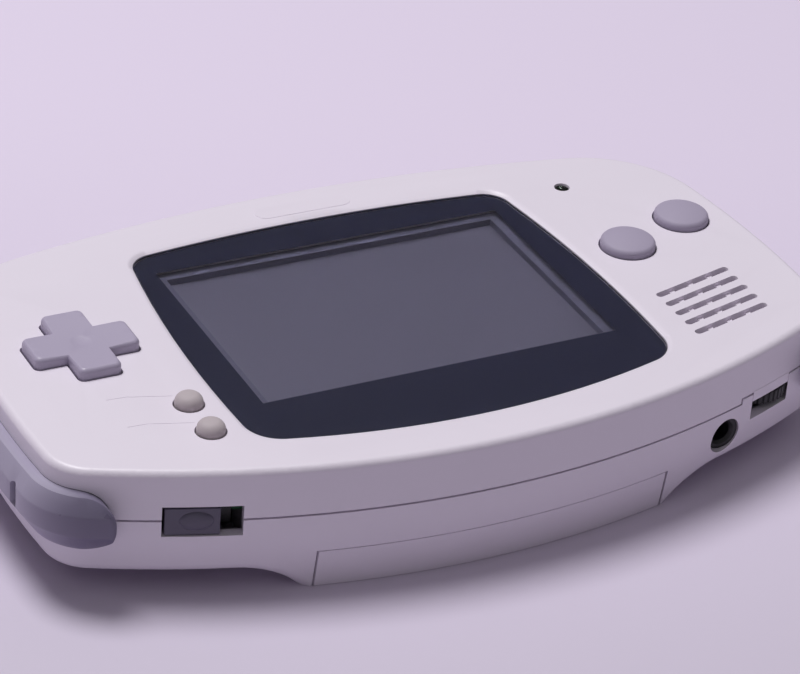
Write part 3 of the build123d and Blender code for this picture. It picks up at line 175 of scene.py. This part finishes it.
def polished_edges(tree, shader, roughness, drop):
    """Rubbed edges: handling leaves the convex edges a little glossier."""
    geometry = add_node(tree, "ShaderNodeNewGeometry")
    wear_and_painted_shade = add_node(
        tree,
        "ShaderNodeMapRange",
        inputs={
            "Value": geometry.outputs["Pointiness"],
            "From Min": 0.5,
            "From Max": 0.6,
            "To Min": roughness,
            "To Max": roughness - drop,
        },
    )
    tree.links.new(wear_and_painted_shade.outputs["Result"], shader.inputs["Roughness"])


def moulded_abs(name, colour, roughness, grain_mm=0.22, depth_mm=0.012, gloss=0.5):
    """ABS from a spark-eroded mould: a soft satin with a fine even grain.

    The grain is drawn a few times coarser than the real one, so that it shows.
    """
    values = {"IOR": 1.53, "Specular IOR Level": gloss}
    material, tree, shader = new_material(name, colour, roughness, values)
    mottle(tree, shader, colour, size_mm=14.0, amount=0.015)
    grain(tree, shader, grain_mm, depth_mm)
    polished_edges(tree, shader, roughness, drop=0.12)
    return material


def painted_shade_abs(name, colour, roughness, dark, pale_y_mm, dark_y_mm):
    """ABS of the rails: the same satin, with painted shade that darkens its colour towards one
    end.
    """
    material = moulded_abs(name, colour, roughness)
    tree = material.node_tree
    shader = tree.nodes["Principled BSDF"]
    unshaded_colour = shader.inputs["Base Color"].links[0].from_socket
    # Painted shade: the colour darkens towards the grip end, where the rail's nose turns away from
    # the light
    place = add_node(tree, "ShaderNodeTexCoord")
    along = add_node(tree, "ShaderNodeSeparateXYZ", inputs={0: place.outputs["Object"]})
    wear_and_painted_shade = add_node(
        tree,
        "ShaderNodeMapRange",
        {"interpolation_type": "SMOOTHSTEP"},
        {
            "Value": along.outputs["Y"],
            "From Min": dark_y_mm * MM,
            "From Max": pale_y_mm * MM,
            "To Min": 1.0,
            "To Max": 0.0,
        },
    )
    mix = add_node(
        tree,
        "ShaderNodeMix",
        {"data_type": "RGBA"},
        {"Factor": wear_and_painted_shade.outputs["Result"], 6: unshaded_colour, 7: opaque(dark)},
    )
    tree.links.new(mix.outputs[2], shader.inputs["Base Color"])
    return material


def moulded_silicone(name, colour):
    """Silicone rubber: matt, soft at grazing light, a little waxy."""
    material, tree, shader = new_material(
        name, colour, 0.62, {"IOR": 1.41, "Sheen Weight": 0.15, "Subsurface Weight": 0.08}
    )
    shader.inputs["Subsurface Radius"].default_value = (0.0008, 0.0007, 0.0007)
    mottle(tree, shader, colour, size_mm=5.0, amount=0.02)
    grain(tree, shader, size_mm=0.3, depth_mm=0.008)
    return material


def clear_acrylic(name, tint, roughness=0.02):
    """Clear acrylic sheet with a hard coat: low glare and a faint cool tint."""
    values = {"IOR": 1.49, "Transmission Weight": 1.0, "Specular IOR Level": 0.2}
    material, tree, shader = new_material(name, tint, roughness, values)
    grain(tree, shader, size_mm=6.0, depth_mm=0.002, strength=0.4)
    return material


def printed_ink(name, colour):
    """Dark ink printed behind the lens: even, with a faint screen-print mottle."""
    material, tree, shader = new_material(name, colour, 0.45, {"IOR": 1.5})
    mottle(tree, shader, colour, size_mm=9.0, amount=0.03)
    grain(tree, shader, size_mm=0.12, depth_mm=0.003)
    return material


def display_film(name, colour, pixel_mm):
    """Polariser over the panel: satin grey, with the faint grid of its pixels."""
    material, tree, shader = new_material(name, colour, 0.38, {"IOR": 1.5})
    place = add_node(tree, "ShaderNodeTexCoord")
    grid = add_node(
        tree,
        "ShaderNodeTexBrick",
        {"offset": 0.0, "squash": 1.0},
        {
            "Vector": place.outputs["Object"],
            "Color1": opaque(colour),
            "Color2": opaque([c * 0.97 for c in colour]),
            "Mortar": opaque([c * 0.86 for c in colour]),
            "Scale": 1 / (pixel_mm * MM),
            "Mortar Size": 0.06,
            "Brick Width": 1.0,
            "Row Height": 1.0,
        },
    )
    tree.links.new(grid.outputs["Color"], shader.inputs["Base Color"])
    return material


def foam_rubber(name, colour):
    """Closed-cell foam: matt with small open pores."""
    material, tree, shader = new_material(name, colour, 0.9)
    mottle(tree, shader, colour, size_mm=0.8, amount=0.15)
    grain(tree, shader, size_mm=0.25, depth_mm=0.05)
    return material


def plated_steel(name, colour, roughness, brushed_mm):
    """Nickel or zinc plated steel: drawn or rolled, with fine lines along X."""
    material, tree, shader = new_material(name, colour, roughness, {"Metallic": 1.0})
    place = add_node(tree, "ShaderNodeTexCoord")
    stretch = add_node(
        tree,
        "ShaderNodeMapping",
        inputs={"Vector": place.outputs["Object"], "Scale": (0.05, 1.0, 1.0)},
    )
    lines = add_node(
        tree,
        "ShaderNodeTexNoise",
        inputs={"Vector": stretch.outputs["Vector"], "Scale": 1 / (brushed_mm * MM)},
    )
    bump = add_node(
        tree,
        "ShaderNodeBump",
        inputs={"Height": lines.outputs["Fac"], "Distance": 0.004 * MM},
    )
    tree.links.new(bump.outputs["Normal"], shader.inputs["Normal"])
    return material


def solder_mask(name, colour):
    """Glass-epoxy board: glossy mask over copper tracks that show as paler lines."""
    material, tree, shader = new_material(name, colour, 0.3, {"IOR": 1.5})
    place = add_node(tree, "ShaderNodeTexCoord")
    tracks = add_node(
        tree,
        "ShaderNodeTexBrick",
        {"offset": 0.37, "squash": 0.7},
        {
            "Vector": place.outputs["Object"],
            "Color1": opaque(colour),
            "Color2": opaque([c * 0.9 for c in colour]),
            "Mortar": opaque([c * 1.7 for c in colour]),
            "Scale": 1 / (5.0 * MM),
            "Mortar Size": 0.04,
        },
    )
    tree.links.new(tracks.outputs["Color"], shader.inputs["Base Color"])
    return material


def foil_sleeve(name, body, band, band_x_mm):
    """Printed foil round a cell: a dark body with a plain metallic band at one end."""
    material, tree, shader = new_material(name, body, 0.32, {"Metallic": 0.6})
    place = add_node(tree, "ShaderNodeTexCoord")
    across = add_node(tree, "ShaderNodeSeparateXYZ", inputs={0: place.outputs["Object"]})
    past = add_node(
        tree,
        "ShaderNodeMath",
        {"operation": "GREATER_THAN"},
        {0: across.outputs["X"], 1: band_x_mm * MM},
    )
    mix = add_node(
        tree,
        "ShaderNodeMix",
        {"data_type": "RGBA"},
        {"Factor": past.outputs[0], 6: opaque(body), 7: opaque(band)},
    )
    tree.links.new(mix.outputs[2], shader.inputs["Base Color"])
    return material


class CasingLooks(bpy.types.PropertyGroup):
    shell_colour: bpy.props.FloatVectorProperty(
        name="Shell", description="Colour of the white shells", subtype="COLOR",
        default=linear("E7DEEC"), min=0, max=1,
    )
    rail_colour: bpy.props.FloatVectorProperty(
        name="Rails", description="Colour of the side rails and shoulder buttons",
        subtype="COLOR", default=linear("A79FB6"), min=0, max=1,
    )
    edge_width: bpy.props.FloatProperty(
        name="Edge", description="Width of the rounding on moulded edges", unit="LENGTH",
        default=0.15 * MM, min=0, precision=5,
    )


class ControlLooks(bpy.types.PropertyGroup):
    pad_colour: bpy.props.FloatVectorProperty(
        name="Pad", description="Colour of the directional pad", subtype="COLOR",
        default=linear("AEA4BC"), min=0, max=1,
    )
    button_colour: bpy.props.FloatVectorProperty(
        name="Buttons", description="Colour of the round buttons", subtype="COLOR",
        default=linear("A89EB5"), min=0, max=1,
    )
    menu_colour: bpy.props.FloatVectorProperty(
        name="Menu buttons", description="Colour of the small buttons", subtype="COLOR",
        default=linear("BAAEB4"), min=0, max=1,
    )


class ScreenLooks(bpy.types.PropertyGroup):
    border_colour: bpy.props.FloatVectorProperty(
        name="Border", description="Colour of the print behind the lens", subtype="COLOR",
        default=linear("171A44"), min=0, max=1,
    )
    film_colour: bpy.props.FloatVectorProperty(
        name="Display", description="Colour of the display when it is off", subtype="COLOR",
        default=linear("7F7B90"), min=0, max=1,
    )
    window_width: bpy.props.FloatProperty(
        name="Window width", description="Width of the clear window", unit="LENGTH",
        default=62.2 * MM, precision=4,
    )
    window_height: bpy.props.FloatProperty(
        name="Window height", description="Height of the clear window", unit="LENGTH",
        default=41.4 * MM, precision=4,
    )
    window_y: bpy.props.FloatProperty(
        name="Window place", description="Middle of the window along Y", unit="LENGTH",
        default=3.5 * MM, precision=4,
    )
    pixel_pitch_mm: bpy.props.FloatProperty(
        name="Pixel", description="Distance between pixels, in millimetres", default=0.255
    )


class StageLooks(bpy.types.PropertyGroup):
    camera_place: bpy.props.FloatVectorProperty(
        name="Camera", description="Where the camera stands", subtype="TRANSLATION",
        unit="LENGTH", default=(-0.22812, -0.41057, 0.30191), precision=5,
    )
    camera_turn: bpy.props.FloatVectorProperty(
        name="Turn", description="How the camera is turned", subtype="EULER", unit="ROTATION",
        default=(math.radians(58.668), math.radians(-4.04), math.radians(-26.749)),
    )
    focal_length_mm: bpy.props.FloatProperty(
        name="Lens", description="Focal length in millimetres on a 36 mm frame", default=153.79
    )
    # The table's near and far colours carry painted light: it is paler towards the lamp
    floor_near: bpy.props.FloatVectorProperty(
        name="Floor, near", description="Colour of the table near the camera", subtype="COLOR",
        default=linear("CDC3D6"), min=0, max=1,
    )
    floor_far: bpy.props.FloatVectorProperty(
        name="Floor, far", description="Colour of the table behind the console",
        subtype="COLOR", default=linear("E4D7EE"), min=0, max=1,
    )
    key_power: bpy.props.FloatProperty(
        name="Key light", description="Power of the large lamp in watts", default=14.0
    )
    fill_power: bpy.props.FloatProperty(
        name="Fill light", description="Power of the low lamp in front, in watts", default=0.6
    )
    sky_strength: bpy.props.FloatProperty(
        name="Sky", description="Strength of the studio dome", default=0.32
    )


def use_material(piece, material):
    """Puts one material on a piece or a carried-over node."""
    if piece.material_slots:
        for slot in piece.material_slots:
            slot.material = material
    else:
        piece.data.materials.append(material)


def finish_nodes(names, material):
    """Gives carried-over nodes their material."""
    for name in names:
        use_material(nodes[name], material)


def select_only(piece):
    """Makes one object the selected and active one."""
    bpy.ops.object.select_all(action="DESELECT")
    piece.select_set(True)
    bpy.context.view_layer.objects.active = piece


def moulding_from(node_name, name):
    """Merged copy of a node's mesh, with its flat faces whole."""
    piece = nodes[node_name].copy()
    piece.data = nodes[node_name].data.copy()
    piece.name = name
    piece.parent = None
    piece.hide_render = False
    piece.hide_viewport = False
    for key in [key for key in piece.keys() if key.startswith("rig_")]:
        del piece[key]
    bpy.context.scene.collection.objects.link(piece)
    select_only(piece)
    if piece.data.has_custom_normals:
        bpy.ops.mesh.customdata_custom_splitnormals_clear()
    bpy.ops.object.mode_set(mode="EDIT")
    bpy.ops.mesh.select_all(action="SELECT")
    bpy.ops.mesh.remove_doubles(threshold=MERGE_MM * MM)
    bpy.ops.mesh.dissolve_limited(angle_limit=FLAT_ANGLE)
    bpy.ops.object.mode_set(mode="OBJECT")
    return piece


def round_edges(piece, width, flat_faces=True, segments=2):
    """Rounds a moulding's sharp edges and smooths the rest, with its flat faces kept flat."""
    select_only(piece)
    if width:
        bevel = piece.modifiers.new("edges", "BEVEL")
        bevel.width = width
        bevel.segments = segments
        bevel.limit_method = "ANGLE"
        bevel.angle_limit = SHARP_ANGLE
        bevel.use_clamp_overlap = True
        bpy.ops.object.modifier_apply(modifier=bevel.name)
    bpy.ops.object.shade_smooth_by_angle(angle=SHARP_ANGLE)
    if flat_faces:
        weighted = piece.modifiers.new("flat faces", "WEIGHTED_NORMAL")
        weighted.mode = "FACE_AREA"
        weighted.keep_sharp = True
        bpy.ops.object.modifier_apply(modifier=weighted.name)


def level_vertices(piece, box_mm, heights_mm, level_mm):
    """Brings the points of a shallow detail in a box, between two heights, to one height."""
    (x0, y0), (x1, y1) = box_mm
    for vertex in piece.data.vertices:
        x, y, z = (c / MM for c in vertex.co)
        if x0 < x < x1 and y0 < y < y1 and heights_mm[0] < z < heights_mm[1]:
            vertex.co.z = level_mm * MM


def finish_moulding(piece, node_name, material, width, flat_faces=True):
    """Rounds a piece's edges, gives it its finish and puts it in its node's place."""
    round_edges(piece, width, flat_faces)
    use_material(piece, material)
    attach(piece, nodes[node_name]["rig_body"])
    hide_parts(node_name)
    return piece


def moulded_piece(node_name, material, width, flat_faces=True):
    """A node's piece with rounded edges and its finish, riding where the node rides."""
    piece = moulding_from(node_name, f"{node_name}_moulding")
    return finish_moulding(piece, node_name, material, width, flat_faces)


class CONSOLE_OT_casing(bpy.types.Operator):
    """Front and rear shells and the battery cover, in white moulded ABS"""

    bl_idname = "console.casing"
    bl_label = "Casing"

    face_height_mm = 22.5
    clear_of_face_mm = 0.02
    detail_reach_mm = 0.6
    pad_height_mm = 0.06
    leader_depth_mm = 0.05
    plain_pad_mm = ((-10.0, 32.0), (10.0, 38.0))
    cover_edge_mm = ((-31.0, -42.0), (31.0, -36.0))
    cover_band_mm = 0.1
    cover_lift_mm = 0.2
    cover_round_mm = 0.3
    leader_boxes_mm = (((-56.0, -12.6), (-43.2, -8.0)), ((-56.0, -20.6), (-43.2, -16.0)))

    def execute(self, context):
        looks = context.scene.console_casing
        white = moulded_abs("shell_abs", tuple(looks.shell_colour), roughness=0.42)
        front = moulding_from("front_shell", "front_shell_moulding")
        face = self.face_height_mm
        clear = self.clear_of_face_mm
        above = (face + clear, face + self.detail_reach_mm)
        below = (face - self.detail_reach_mm, face - clear)
        level_vertices(front, self.plain_pad_mm, above, face + self.pad_height_mm)
        for box in self.leader_boxes_mm:
            level_vertices(front, box, below, face - self.leader_depth_mm)
        finish_moulding(front, "front_shell", white, looks.edge_width)
        moulded_piece("rear_shell", white, looks.edge_width)
        cover = moulding_from("battery_cover", "battery_cover_moulding")
        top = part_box("battery_cover")[1].z / MM
        edge_heights = (top - self.cover_band_mm, top + self.cover_band_mm)
        level_vertices(cover, self.cover_edge_mm, edge_heights, top + self.cover_lift_mm)
        finish_moulding(cover, "battery_cover", white, self.cover_round_mm * MM)
        return {"FINISHED"}


class CONSOLE_OT_rails(bpy.types.Operator):
    """Side rails and shoulder buttons, in lavender-grey ABS"""

    bl_idname = "console.rails"
    bl_label = "Rails and shoulder buttons"

    satin = 0.38

    def execute(self, context):
        looks = context.scene.console_casing
        colour = tuple(looks.rail_colour)
        grey = moulded_abs("shoulder_abs", colour, self.satin)
        # The rails carry painted shade: their colour darkens towards the grip ends
        wear_and_painted_shade = painted_shade_abs(
            "rail_abs", colour, self.satin, dark=linear("6F6880"), pale_y_mm=-20.0, dark_y_mm=-31.0
        )
        for side in ("left", "right"):
            moulded_piece(f"side_rail_{side}", wear_and_painted_shade, looks.edge_width, flat_faces=False)
            moulded_piece(f"shoulder_button_{side}", grey, looks.edge_width)
        return {"FINISHED"}


class CONSOLE_OT_controls(bpy.types.Operator):
    """Directional pad, round buttons and small menu buttons"""

    bl_idname = "console.controls"
    bl_label = "Pad and buttons"

    pad_edge_mm = 0.6

    def execute(self, context):
        looks = context.scene.console_controls
        edge = context.scene.console_casing.edge_width
        pad = moulded_abs("pad_abs", tuple(looks.pad_colour), roughness=0.45)
        moulded_piece("dpad", pad, self.pad_edge_mm * MM)
        cap = moulded_abs(
            "button_abs", tuple(looks.button_colour), 0.6, grain_mm=0.3, depth_mm=0.008, gloss=0.3
        )
        moulded_piece("button_a", cap, edge)
        moulded_piece("button_b", cap, edge)
        rubber = moulded_silicone("menu_silicone", tuple(looks.menu_colour))
        moulded_piece("start_button", rubber, edge)
        moulded_piece("select_button", rubber, edge)
        return {"FINISHED"}


def keep_bottom_face(piece):
    """Deletes all but the faces of a piece that look down."""
    select_only(piece)
    bpy.ops.object.mode_set(mode="EDIT")
    bpy.ops.mesh.select_all(action="DESELECT")
    bpy.ops.object.mode_set(mode="OBJECT")
    for polygon in piece.data.polygons:
        polygon.select = polygon.normal.z > LOOKS_DOWN
    bpy.ops.object.mode_set(mode="EDIT")
    bpy.ops.mesh.delete(type="FACE")
    bpy.ops.object.mode_set(mode="OBJECT")


def cut_window(piece, width, height, middle_y):
    """Cuts a clear rectangle out of a flat sheet."""
    select_only(piece)
    cuts = (
        ((-width / 2, 0, 0), (1, 0, 0)),
        ((width / 2, 0, 0), (1, 0, 0)),
        ((0, middle_y - height / 2, 0), (0, 1, 0)),
        ((0, middle_y + height / 2, 0), (0, 1, 0)),
    )
    bpy.ops.object.mode_set(mode="EDIT")
    for place, normal in cuts:
        bpy.ops.mesh.select_all(action="SELECT")
        bpy.ops.mesh.bisect(plane_co=place, plane_no=normal)
    bpy.ops.mesh.select_all(action="DESELECT")
    bpy.ops.object.mode_set(mode="OBJECT")
    for polygon in piece.data.polygons:
        inside_x = abs(polygon.center.x) < width / 2
        inside_y = abs(polygon.center.y - middle_y) < height / 2
        polygon.select = inside_x and inside_y
    bpy.ops.object.mode_set(mode="EDIT")
    bpy.ops.mesh.delete(type="FACE")
    bpy.ops.object.mode_set(mode="OBJECT")


class CONSOLE_OT_screen(bpy.types.Operator):
    """Clear lens, the print behind it, and the display with its gasket"""

    bl_idname = "console.screen"
    bl_label = "Screen"

    print_lift_mm = 0.03
    print_thickness_mm = 0.02
    print_margin_share = 0.996

    def execute(self, context):
        looks = context.scene.console_screen
        context.tool_settings.mesh_select_mode = (False, False, True)
        clear = clear_acrylic("lens_acrylic", linear("F4F4FA"))
        moulded_piece("screen_lens", clear, 0.0)
        ink = printed_ink("lens_ink", tuple(looks.border_colour))
        sheet = moulding_from("screen_lens", "lens_print")
        keep_bottom_face(sheet)
        middle = Vector((0, looks.window_y, 0))
        lift = Vector((0, 0, self.print_lift_mm * MM))
        for vertex in sheet.data.vertices:
            vertex.co = middle + (vertex.co - middle) * self.print_margin_share
            vertex.co.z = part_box("screen_lens")[0].z
            vertex.co += lift
        cut_window(sheet, looks.window_width, looks.window_height, looks.window_y)
        solidify = sheet.modifiers.new("thickness", "SOLIDIFY")
        solidify.thickness = self.print_thickness_mm * MM
        solidify.offset = -1
        select_only(sheet)
        bpy.ops.object.modifier_apply(modifier=solidify.name)
        use_material(sheet, ink)
        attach(sheet, nodes["screen_lens"]["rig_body"])
        film = display_film("display_film", tuple(looks.film_colour), looks.pixel_pitch_mm)
        finish_nodes(["lcd_panel"], film)
        foam = foam_rubber("gasket_foam", linear("77758C"))
        finish_nodes(["lcd_gasket", "lens_tape"], foam)
        finish_nodes(["speaker_gasket"], foam_rubber("speaker_foam", linear("1E1C22")))
        return {"FINISHED"}


def rounded_solid(name, primitive, shape, place, turn, size_mm, edge):
    """A primitive at its size, place and turn, with rounded edges and its place in its mesh."""
    bpy.ops.object.select_all(action="DESELECT")
    primitive(location=place, rotation=(0, 0, turn), **shape)
    solid = bpy.context.active_object
    solid.name = name
    solid.scale = Vector(size_mm) * MM
    bpy.ops.object.transform_apply(location=True, rotation=True, scale=True)
    round_edges(solid, edge, segments=3)
    return solid


class CONSOLE_OT_fittings(bpy.types.Operator):
    """Power slider, jack, volume wheel, light pipe and link port"""

    bl_idname = "console.fittings"
    bl_label = "Fittings in the walls"

    slot_middle_mm = (-47.9, -33.15, 13.9)
    wall_turn = math.radians(-18.6)
    slider_middle_mm = -1.5
    front_size_mm = (8.3, 0.5, 4.65)
    front_depth_mm = 0.55
    front_drop_mm = 0.12
    front_edge_mm = 0.12
    grip_size_mm = (5.4, 1.3, 3.4)
    grip_depth_mm = 0.45
    grip_shift_mm = 0.6
    # The shield stands for the slider's skirt, widened and black to fill the open slot with
    # painted shade
    shield_size_mm = (12.2, 0.4, 4.9)
    shield_depth_mm = 3.5
    shield_edge_mm = 0.1
    sleeve_edge_mm = 0.05
    pipe_edge_mm = 0.1
    screw_edge_mm = 0.08

    def wall_place(self, along, depth):
        """Place in the scene of a point along the slot and behind the wall's face."""
        x, y, z = self.slot_middle_mm
        across = self.wall_turn
        x += along * math.cos(across) - depth * math.sin(across)
        y += along * math.sin(across) + depth * math.cos(across)
        return Vector((x, y, z)) * MM

    def slider(self, context, material, shield, edge):
        """Slider with its raised oval grip, and the black shield behind it: partly the slider's
        skirt, and partly painted shade that fills the open slot beside the slider.
        """
        middle = self.slider_middle_mm
        cube = (bpy.ops.mesh.primitive_cube_add, {"size": 1})
        ball = (
            bpy.ops.mesh.primitive_uv_sphere_add,
            {"segments": 32, "ring_count": 16, "radius": 0.5},
        )
        front_place = self.wall_place(middle, self.front_depth_mm)
        front_place.z -= self.front_drop_mm * MM
        grip_place = self.wall_place(middle + self.grip_shift_mm, self.grip_depth_mm)
        shield_place = self.wall_place(middle, self.shield_depth_mm)
        turn = self.wall_turn
        front = rounded_solid(
            "slider_front", *cube, front_place, turn, self.front_size_mm, self.front_edge_mm * MM
        )
        grip = rounded_solid("slider_grip", *ball, grip_place, turn, self.grip_size_mm, 0)
        back = rounded_solid(
            "slider_shield_painted_shade", *cube, shield_place, turn, self.shield_size_mm,
            self.shield_edge_mm * MM,
        )
        piece = moulding_from("power_switch_slider", "power_switch_slider_moulding")
        round_edges(piece, edge)
        bpy.ops.object.select_all(action="DESELECT")
        for part in (front, grip, piece):
            part.select_set(True)
        context.view_layer.objects.active = piece
        bpy.ops.object.join()
        finish_moulding(piece, "power_switch_slider", material, 0.0)
        use_material(back, shield)
        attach(back, nodes["power_switch_slider"]["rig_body"])

    def execute(self, context):
        edge = context.scene.console_casing.edge_width
        # Black nylon for the black parts, and painted shade on the volume wheel and the slider's
        # shield
        black = moulded_abs("black_nylon_and_painted_shade", linear("101014"), roughness=0.5)
        grey = moulded_abs("slider_abs", linear("544F62"), roughness=0.45)
        self.slider(context, grey, black, edge)
        finish_nodes(
            ["power_switch_body", "cartridge_connector", "ribbon_socket", "shoulder_switches"],
            black,
        )
        # Painted shade: the volume wheel takes the black of the shaded slot it sits in
        moulded_piece("volume_wheel", black, self.sleeve_edge_mm * MM)
        moulded_piece("headphone_jack", black, self.sleeve_edge_mm * MM)
        pipe = clear_acrylic("pipe_acrylic", linear("DDE4DE"), roughness=0.15)
        moulded_piece("light_pipe", pipe, self.pipe_edge_mm * MM)
        sleeve = plated_steel("port_nickel", linear("B9B9BE"), roughness=0.28, brushed_mm=0.2)
        moulded_piece("link_port", sleeve, self.sleeve_edge_mm * MM)
        gold = plated_steel("contact_gold", linear("D9B45A"), roughness=0.25, brushed_mm=0.2)
        finish_nodes(["cartridge_contacts"], gold)
        zinc = plated_steel("screw_zinc", linear("8C8C92"), roughness=0.35, brushed_mm=0.3)
        moulded_piece("case_screws", zinc, self.screw_edge_mm * MM)
        finish_nodes(["board_screws"], zinc)
        return {"FINISHED"}


class CONSOLE_OT_inside(bpy.types.Operator):
    """Board, chips, cells, springs and the rest behind the shells"""

    bl_idname = "console.inside"
    bl_label = "Inside"

    # Node, joint that presses it, how far, where the sheet is divided, and the side left off
    domes = (
        ("dpad_membrane", "pad_tilt_sideways", 0.62, None, None),
        ("action_membrane", "press_a", 1.22, (52.25, 0.0), (-1, 0, 0)),
        ("action_membrane", "press_b", 1.22, (52.25, 0.0), (1, 0, 0)),
        ("menu_membrane", "press_start", 0.82, (0.0, -18.9), (0, -1, 0)),
        ("menu_membrane", "press_select", 0.82, (0.0, -18.9), (0, 1, 0)),
    )

    def dome_sheet(self, node_name, joint, travel_mm, cut_mm, away, material):
        """Part of a rubber sheet under the button of its joint, cut at the given plane."""
        piece = moulding_from(node_name, f"{node_name}_{joint}")
        if cut_mm:
            bpy.ops.object.mode_set(mode="EDIT")
            bpy.ops.mesh.select_all(action="SELECT")
            place = Vector((*cut_mm, 0)) * MM
            bpy.ops.mesh.bisect(plane_co=place, plane_no=away, use_fill=True, clear_outer=True)
            bpy.ops.object.mode_set(mode="OBJECT")
        finish_moulding(piece, node_name, material, 0.0)
        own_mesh(piece)

    def execute(self, context):
        finish_nodes(["main_board"], solder_mask("board_mask", linear("1F5A38")))
        epoxy = moulded_abs("chip_epoxy", linear("1C1C1F"), roughness=0.55)
        finish_nodes(["processor_chip", "memory_chips", "power_transformer"], epoxy)
        nickel = plated_steel("spring_nickel", linear("BFC0C4"), roughness=0.25, brushed_mm=0.15)
        finish_nodes(
            ["battery_springs", "battery_plates", "shoulder_springs", "shoulder_pins"]
            + ["volume_pot", "clock_crystal", "capacitors"],
            nickel,
        )
        sheet = moulded_silicone("membrane_silicone", linear("8E8E94"))
        for node_name, joint, travel_mm, cut_mm, away in self.domes:
            self.dome_sheet(node_name, joint, travel_mm, cut_mm, away, sheet)
        holder = moulded_abs("holder_abs", linear("BDBDC0"), roughness=0.5)
        finish_nodes(["lcd_holder"], holder)
        film = moulded_abs("ribbon_film", linear("B07A35"), roughness=0.35)
        finish_nodes(["lcd_ribbon"], film)
        paper = moulded_abs("speaker_paper", linear("222226"), roughness=0.8)
        finish_nodes(["speaker"], paper)
        clear = clear_acrylic("led_epoxy", linear("D8E6B0"), roughness=0.1)
        finish_nodes(["power_led"], clear)
        for name, band_side in (("battery_cell_1", 12.0), ("battery_cell_2", 10.0)):
            sleeve = foil_sleeve(f"{name}_foil", linear("34363C"), linear("B98A4A"), band_side)
            finish_nodes([name], sleeve)
        return {"FINISHED"}


def floor_material(looks):
    """Matt laminate table, with painted light: its colour is paler towards the back, where the
    lamp is.
    """
    material, tree, shader = new_material("table_laminate", tuple(looks.floor_near), 0.6)
    place = add_node(tree, "ShaderNodeTexCoord")
    towards_back = add_node(
        tree,
        "ShaderNodeVectorMath",
        {"operation": "DOT_PRODUCT"},
        {0: place.outputs["Object"], 1: FADE_DIRECTION},
    )
    along = add_node(
        tree,
        "ShaderNodeMapRange",
        {"interpolation_type": "SMOOTHSTEP"},
        {
            "Value": towards_back.outputs["Value"],
            "From Min": -FADE_REACH,
            "From Max": FADE_REACH,
        },
    )
    mix = add_node(
        tree,
        "ShaderNodeMix",
        {"data_type": "RGBA"},
        {
            "Factor": along.outputs["Result"],
            6: opaque(looks.floor_near),
            7: opaque(looks.floor_far),
        },
    )
    tree.links.new(mix.outputs[2], shader.inputs["Base Color"])
    return material


def studio_sky(scene, strength):
    """Dome of soft light: pale at the horizon, dim above it and bright overhead."""
    world = bpy.data.worlds.new("studio")
    scene.world = world
    world.use_nodes = True
    tree = world.node_tree
    place = add_node(tree, "ShaderNodeTexCoord")
    height = add_node(tree, "ShaderNodeSeparateXYZ", inputs={0: place.outputs["Generated"]})
    ramp = add_node(tree, "ShaderNodeValToRGB", inputs={"Fac": height.outputs["Z"]})
    stops = ramp.color_ramp.elements
    while len(stops) < len(SKY_STEPS):
        stops.new(0.5)
    for stop, (code, level) in zip(stops, SKY_STEPS):
        stop.position = level
        stop.color = opaque(linear(code))
    background = tree.nodes["Background"]
    background.inputs["Strength"].default_value = strength
    tree.links.new(ramp.outputs["Color"], background.inputs["Color"])


def soft_lamp(name, place, size, power):
    """Round area lamp that looks at the console."""
    bpy.ops.object.light_add(type="AREA", location=place)
    lamp = bpy.context.active_object
    lamp.name = name
    lamp.data.energy = power
    lamp.data.shape = "DISK"
    lamp.data.size = size
    lamp.rotation_euler = (-Vector(place)).to_track_quat("-Z", "Y").to_euler()


class CONSOLE_OT_stage(bpy.types.Operator):
    """Table, soft light and the camera of the photograph"""

    bl_idname = "console.stage"
    bl_label = "Stage"

    table_size = 12.0
    key_size = 0.6
    key_place = (-0.2, 0.38, 1.3)
    fill_size = 0.7
    fill_place = (-0.55, -1.25, 0.3)

    def execute(self, context):
        scene = context.scene
        looks = scene.console_stage
        bpy.ops.mesh.primitive_plane_add(size=self.table_size)
        table = context.active_object
        table.name = "table"
        use_material(table, floor_material(looks))
        studio_sky(scene, looks.sky_strength)
        soft_lamp("key_light", self.key_place, self.key_size, looks.key_power)
        soft_lamp("fill_light", self.fill_place, self.fill_size, looks.fill_power)
        bpy.ops.object.camera_add(location=looks.camera_place, rotation=looks.camera_turn)
        camera = context.active_object
        camera.name = "camera"
        camera.data.lens = looks.focal_length_mm
        camera.data.sensor_width = 36
        camera.data.clip_start = 0.01
        scene.camera = camera
        scene.view_settings.view_transform = "Standard"
        return {"FINISHED"}


class CONSOLE_PT_panel(bpy.types.Panel):
    """Sidebar panel with the looks and the steps"""

    bl_label = "Console"
    bl_idname = "CONSOLE_PT_panel"
    bl_space_type = "VIEW_3D"
    bl_region_type = "UI"
    bl_category = "Console"

    def draw(self, context):
        for group in GROUPS:
            looks = getattr(context.scene, group)
            box = self.layout.box()
            for name in looks.__annotations__:
                box.prop(looks, name)
        for operator in OPERATORS:
            self.layout.operator(operator.bl_idname)


GROUPS = {
    "console_casing": CasingLooks,
    "console_controls": ControlLooks,
    "console_screen": ScreenLooks,
    "console_stage": StageLooks,
}
OPERATORS = (
    CONSOLE_OT_stage,
    CONSOLE_OT_casing,
    CONSOLE_OT_rails,
    CONSOLE_OT_controls,
    CONSOLE_OT_screen,
    CONSOLE_OT_fittings,
    CONSOLE_OT_inside,
)
CLASSES = (*GROUPS.values(), *OPERATORS, CONSOLE_PT_panel)


def register():
    for cls in CLASSES:
        bpy.utils.register_class(cls)
    for name, group in GROUPS.items():
        setattr(bpy.types.Scene, name, bpy.props.PointerProperty(type=group))


def unregister():
    for name in GROUPS:
        delattr(bpy.types.Scene, name)
    for cls in reversed(CLASSES):
        bpy.utils.unregister_class(cls)


def main():
    register()
    for operator in OPERATORS:
        family, name = operator.bl_idname.split(".")
        getattr(getattr(bpy.ops, family), name)()


if __name__ == "__main__":
    main()
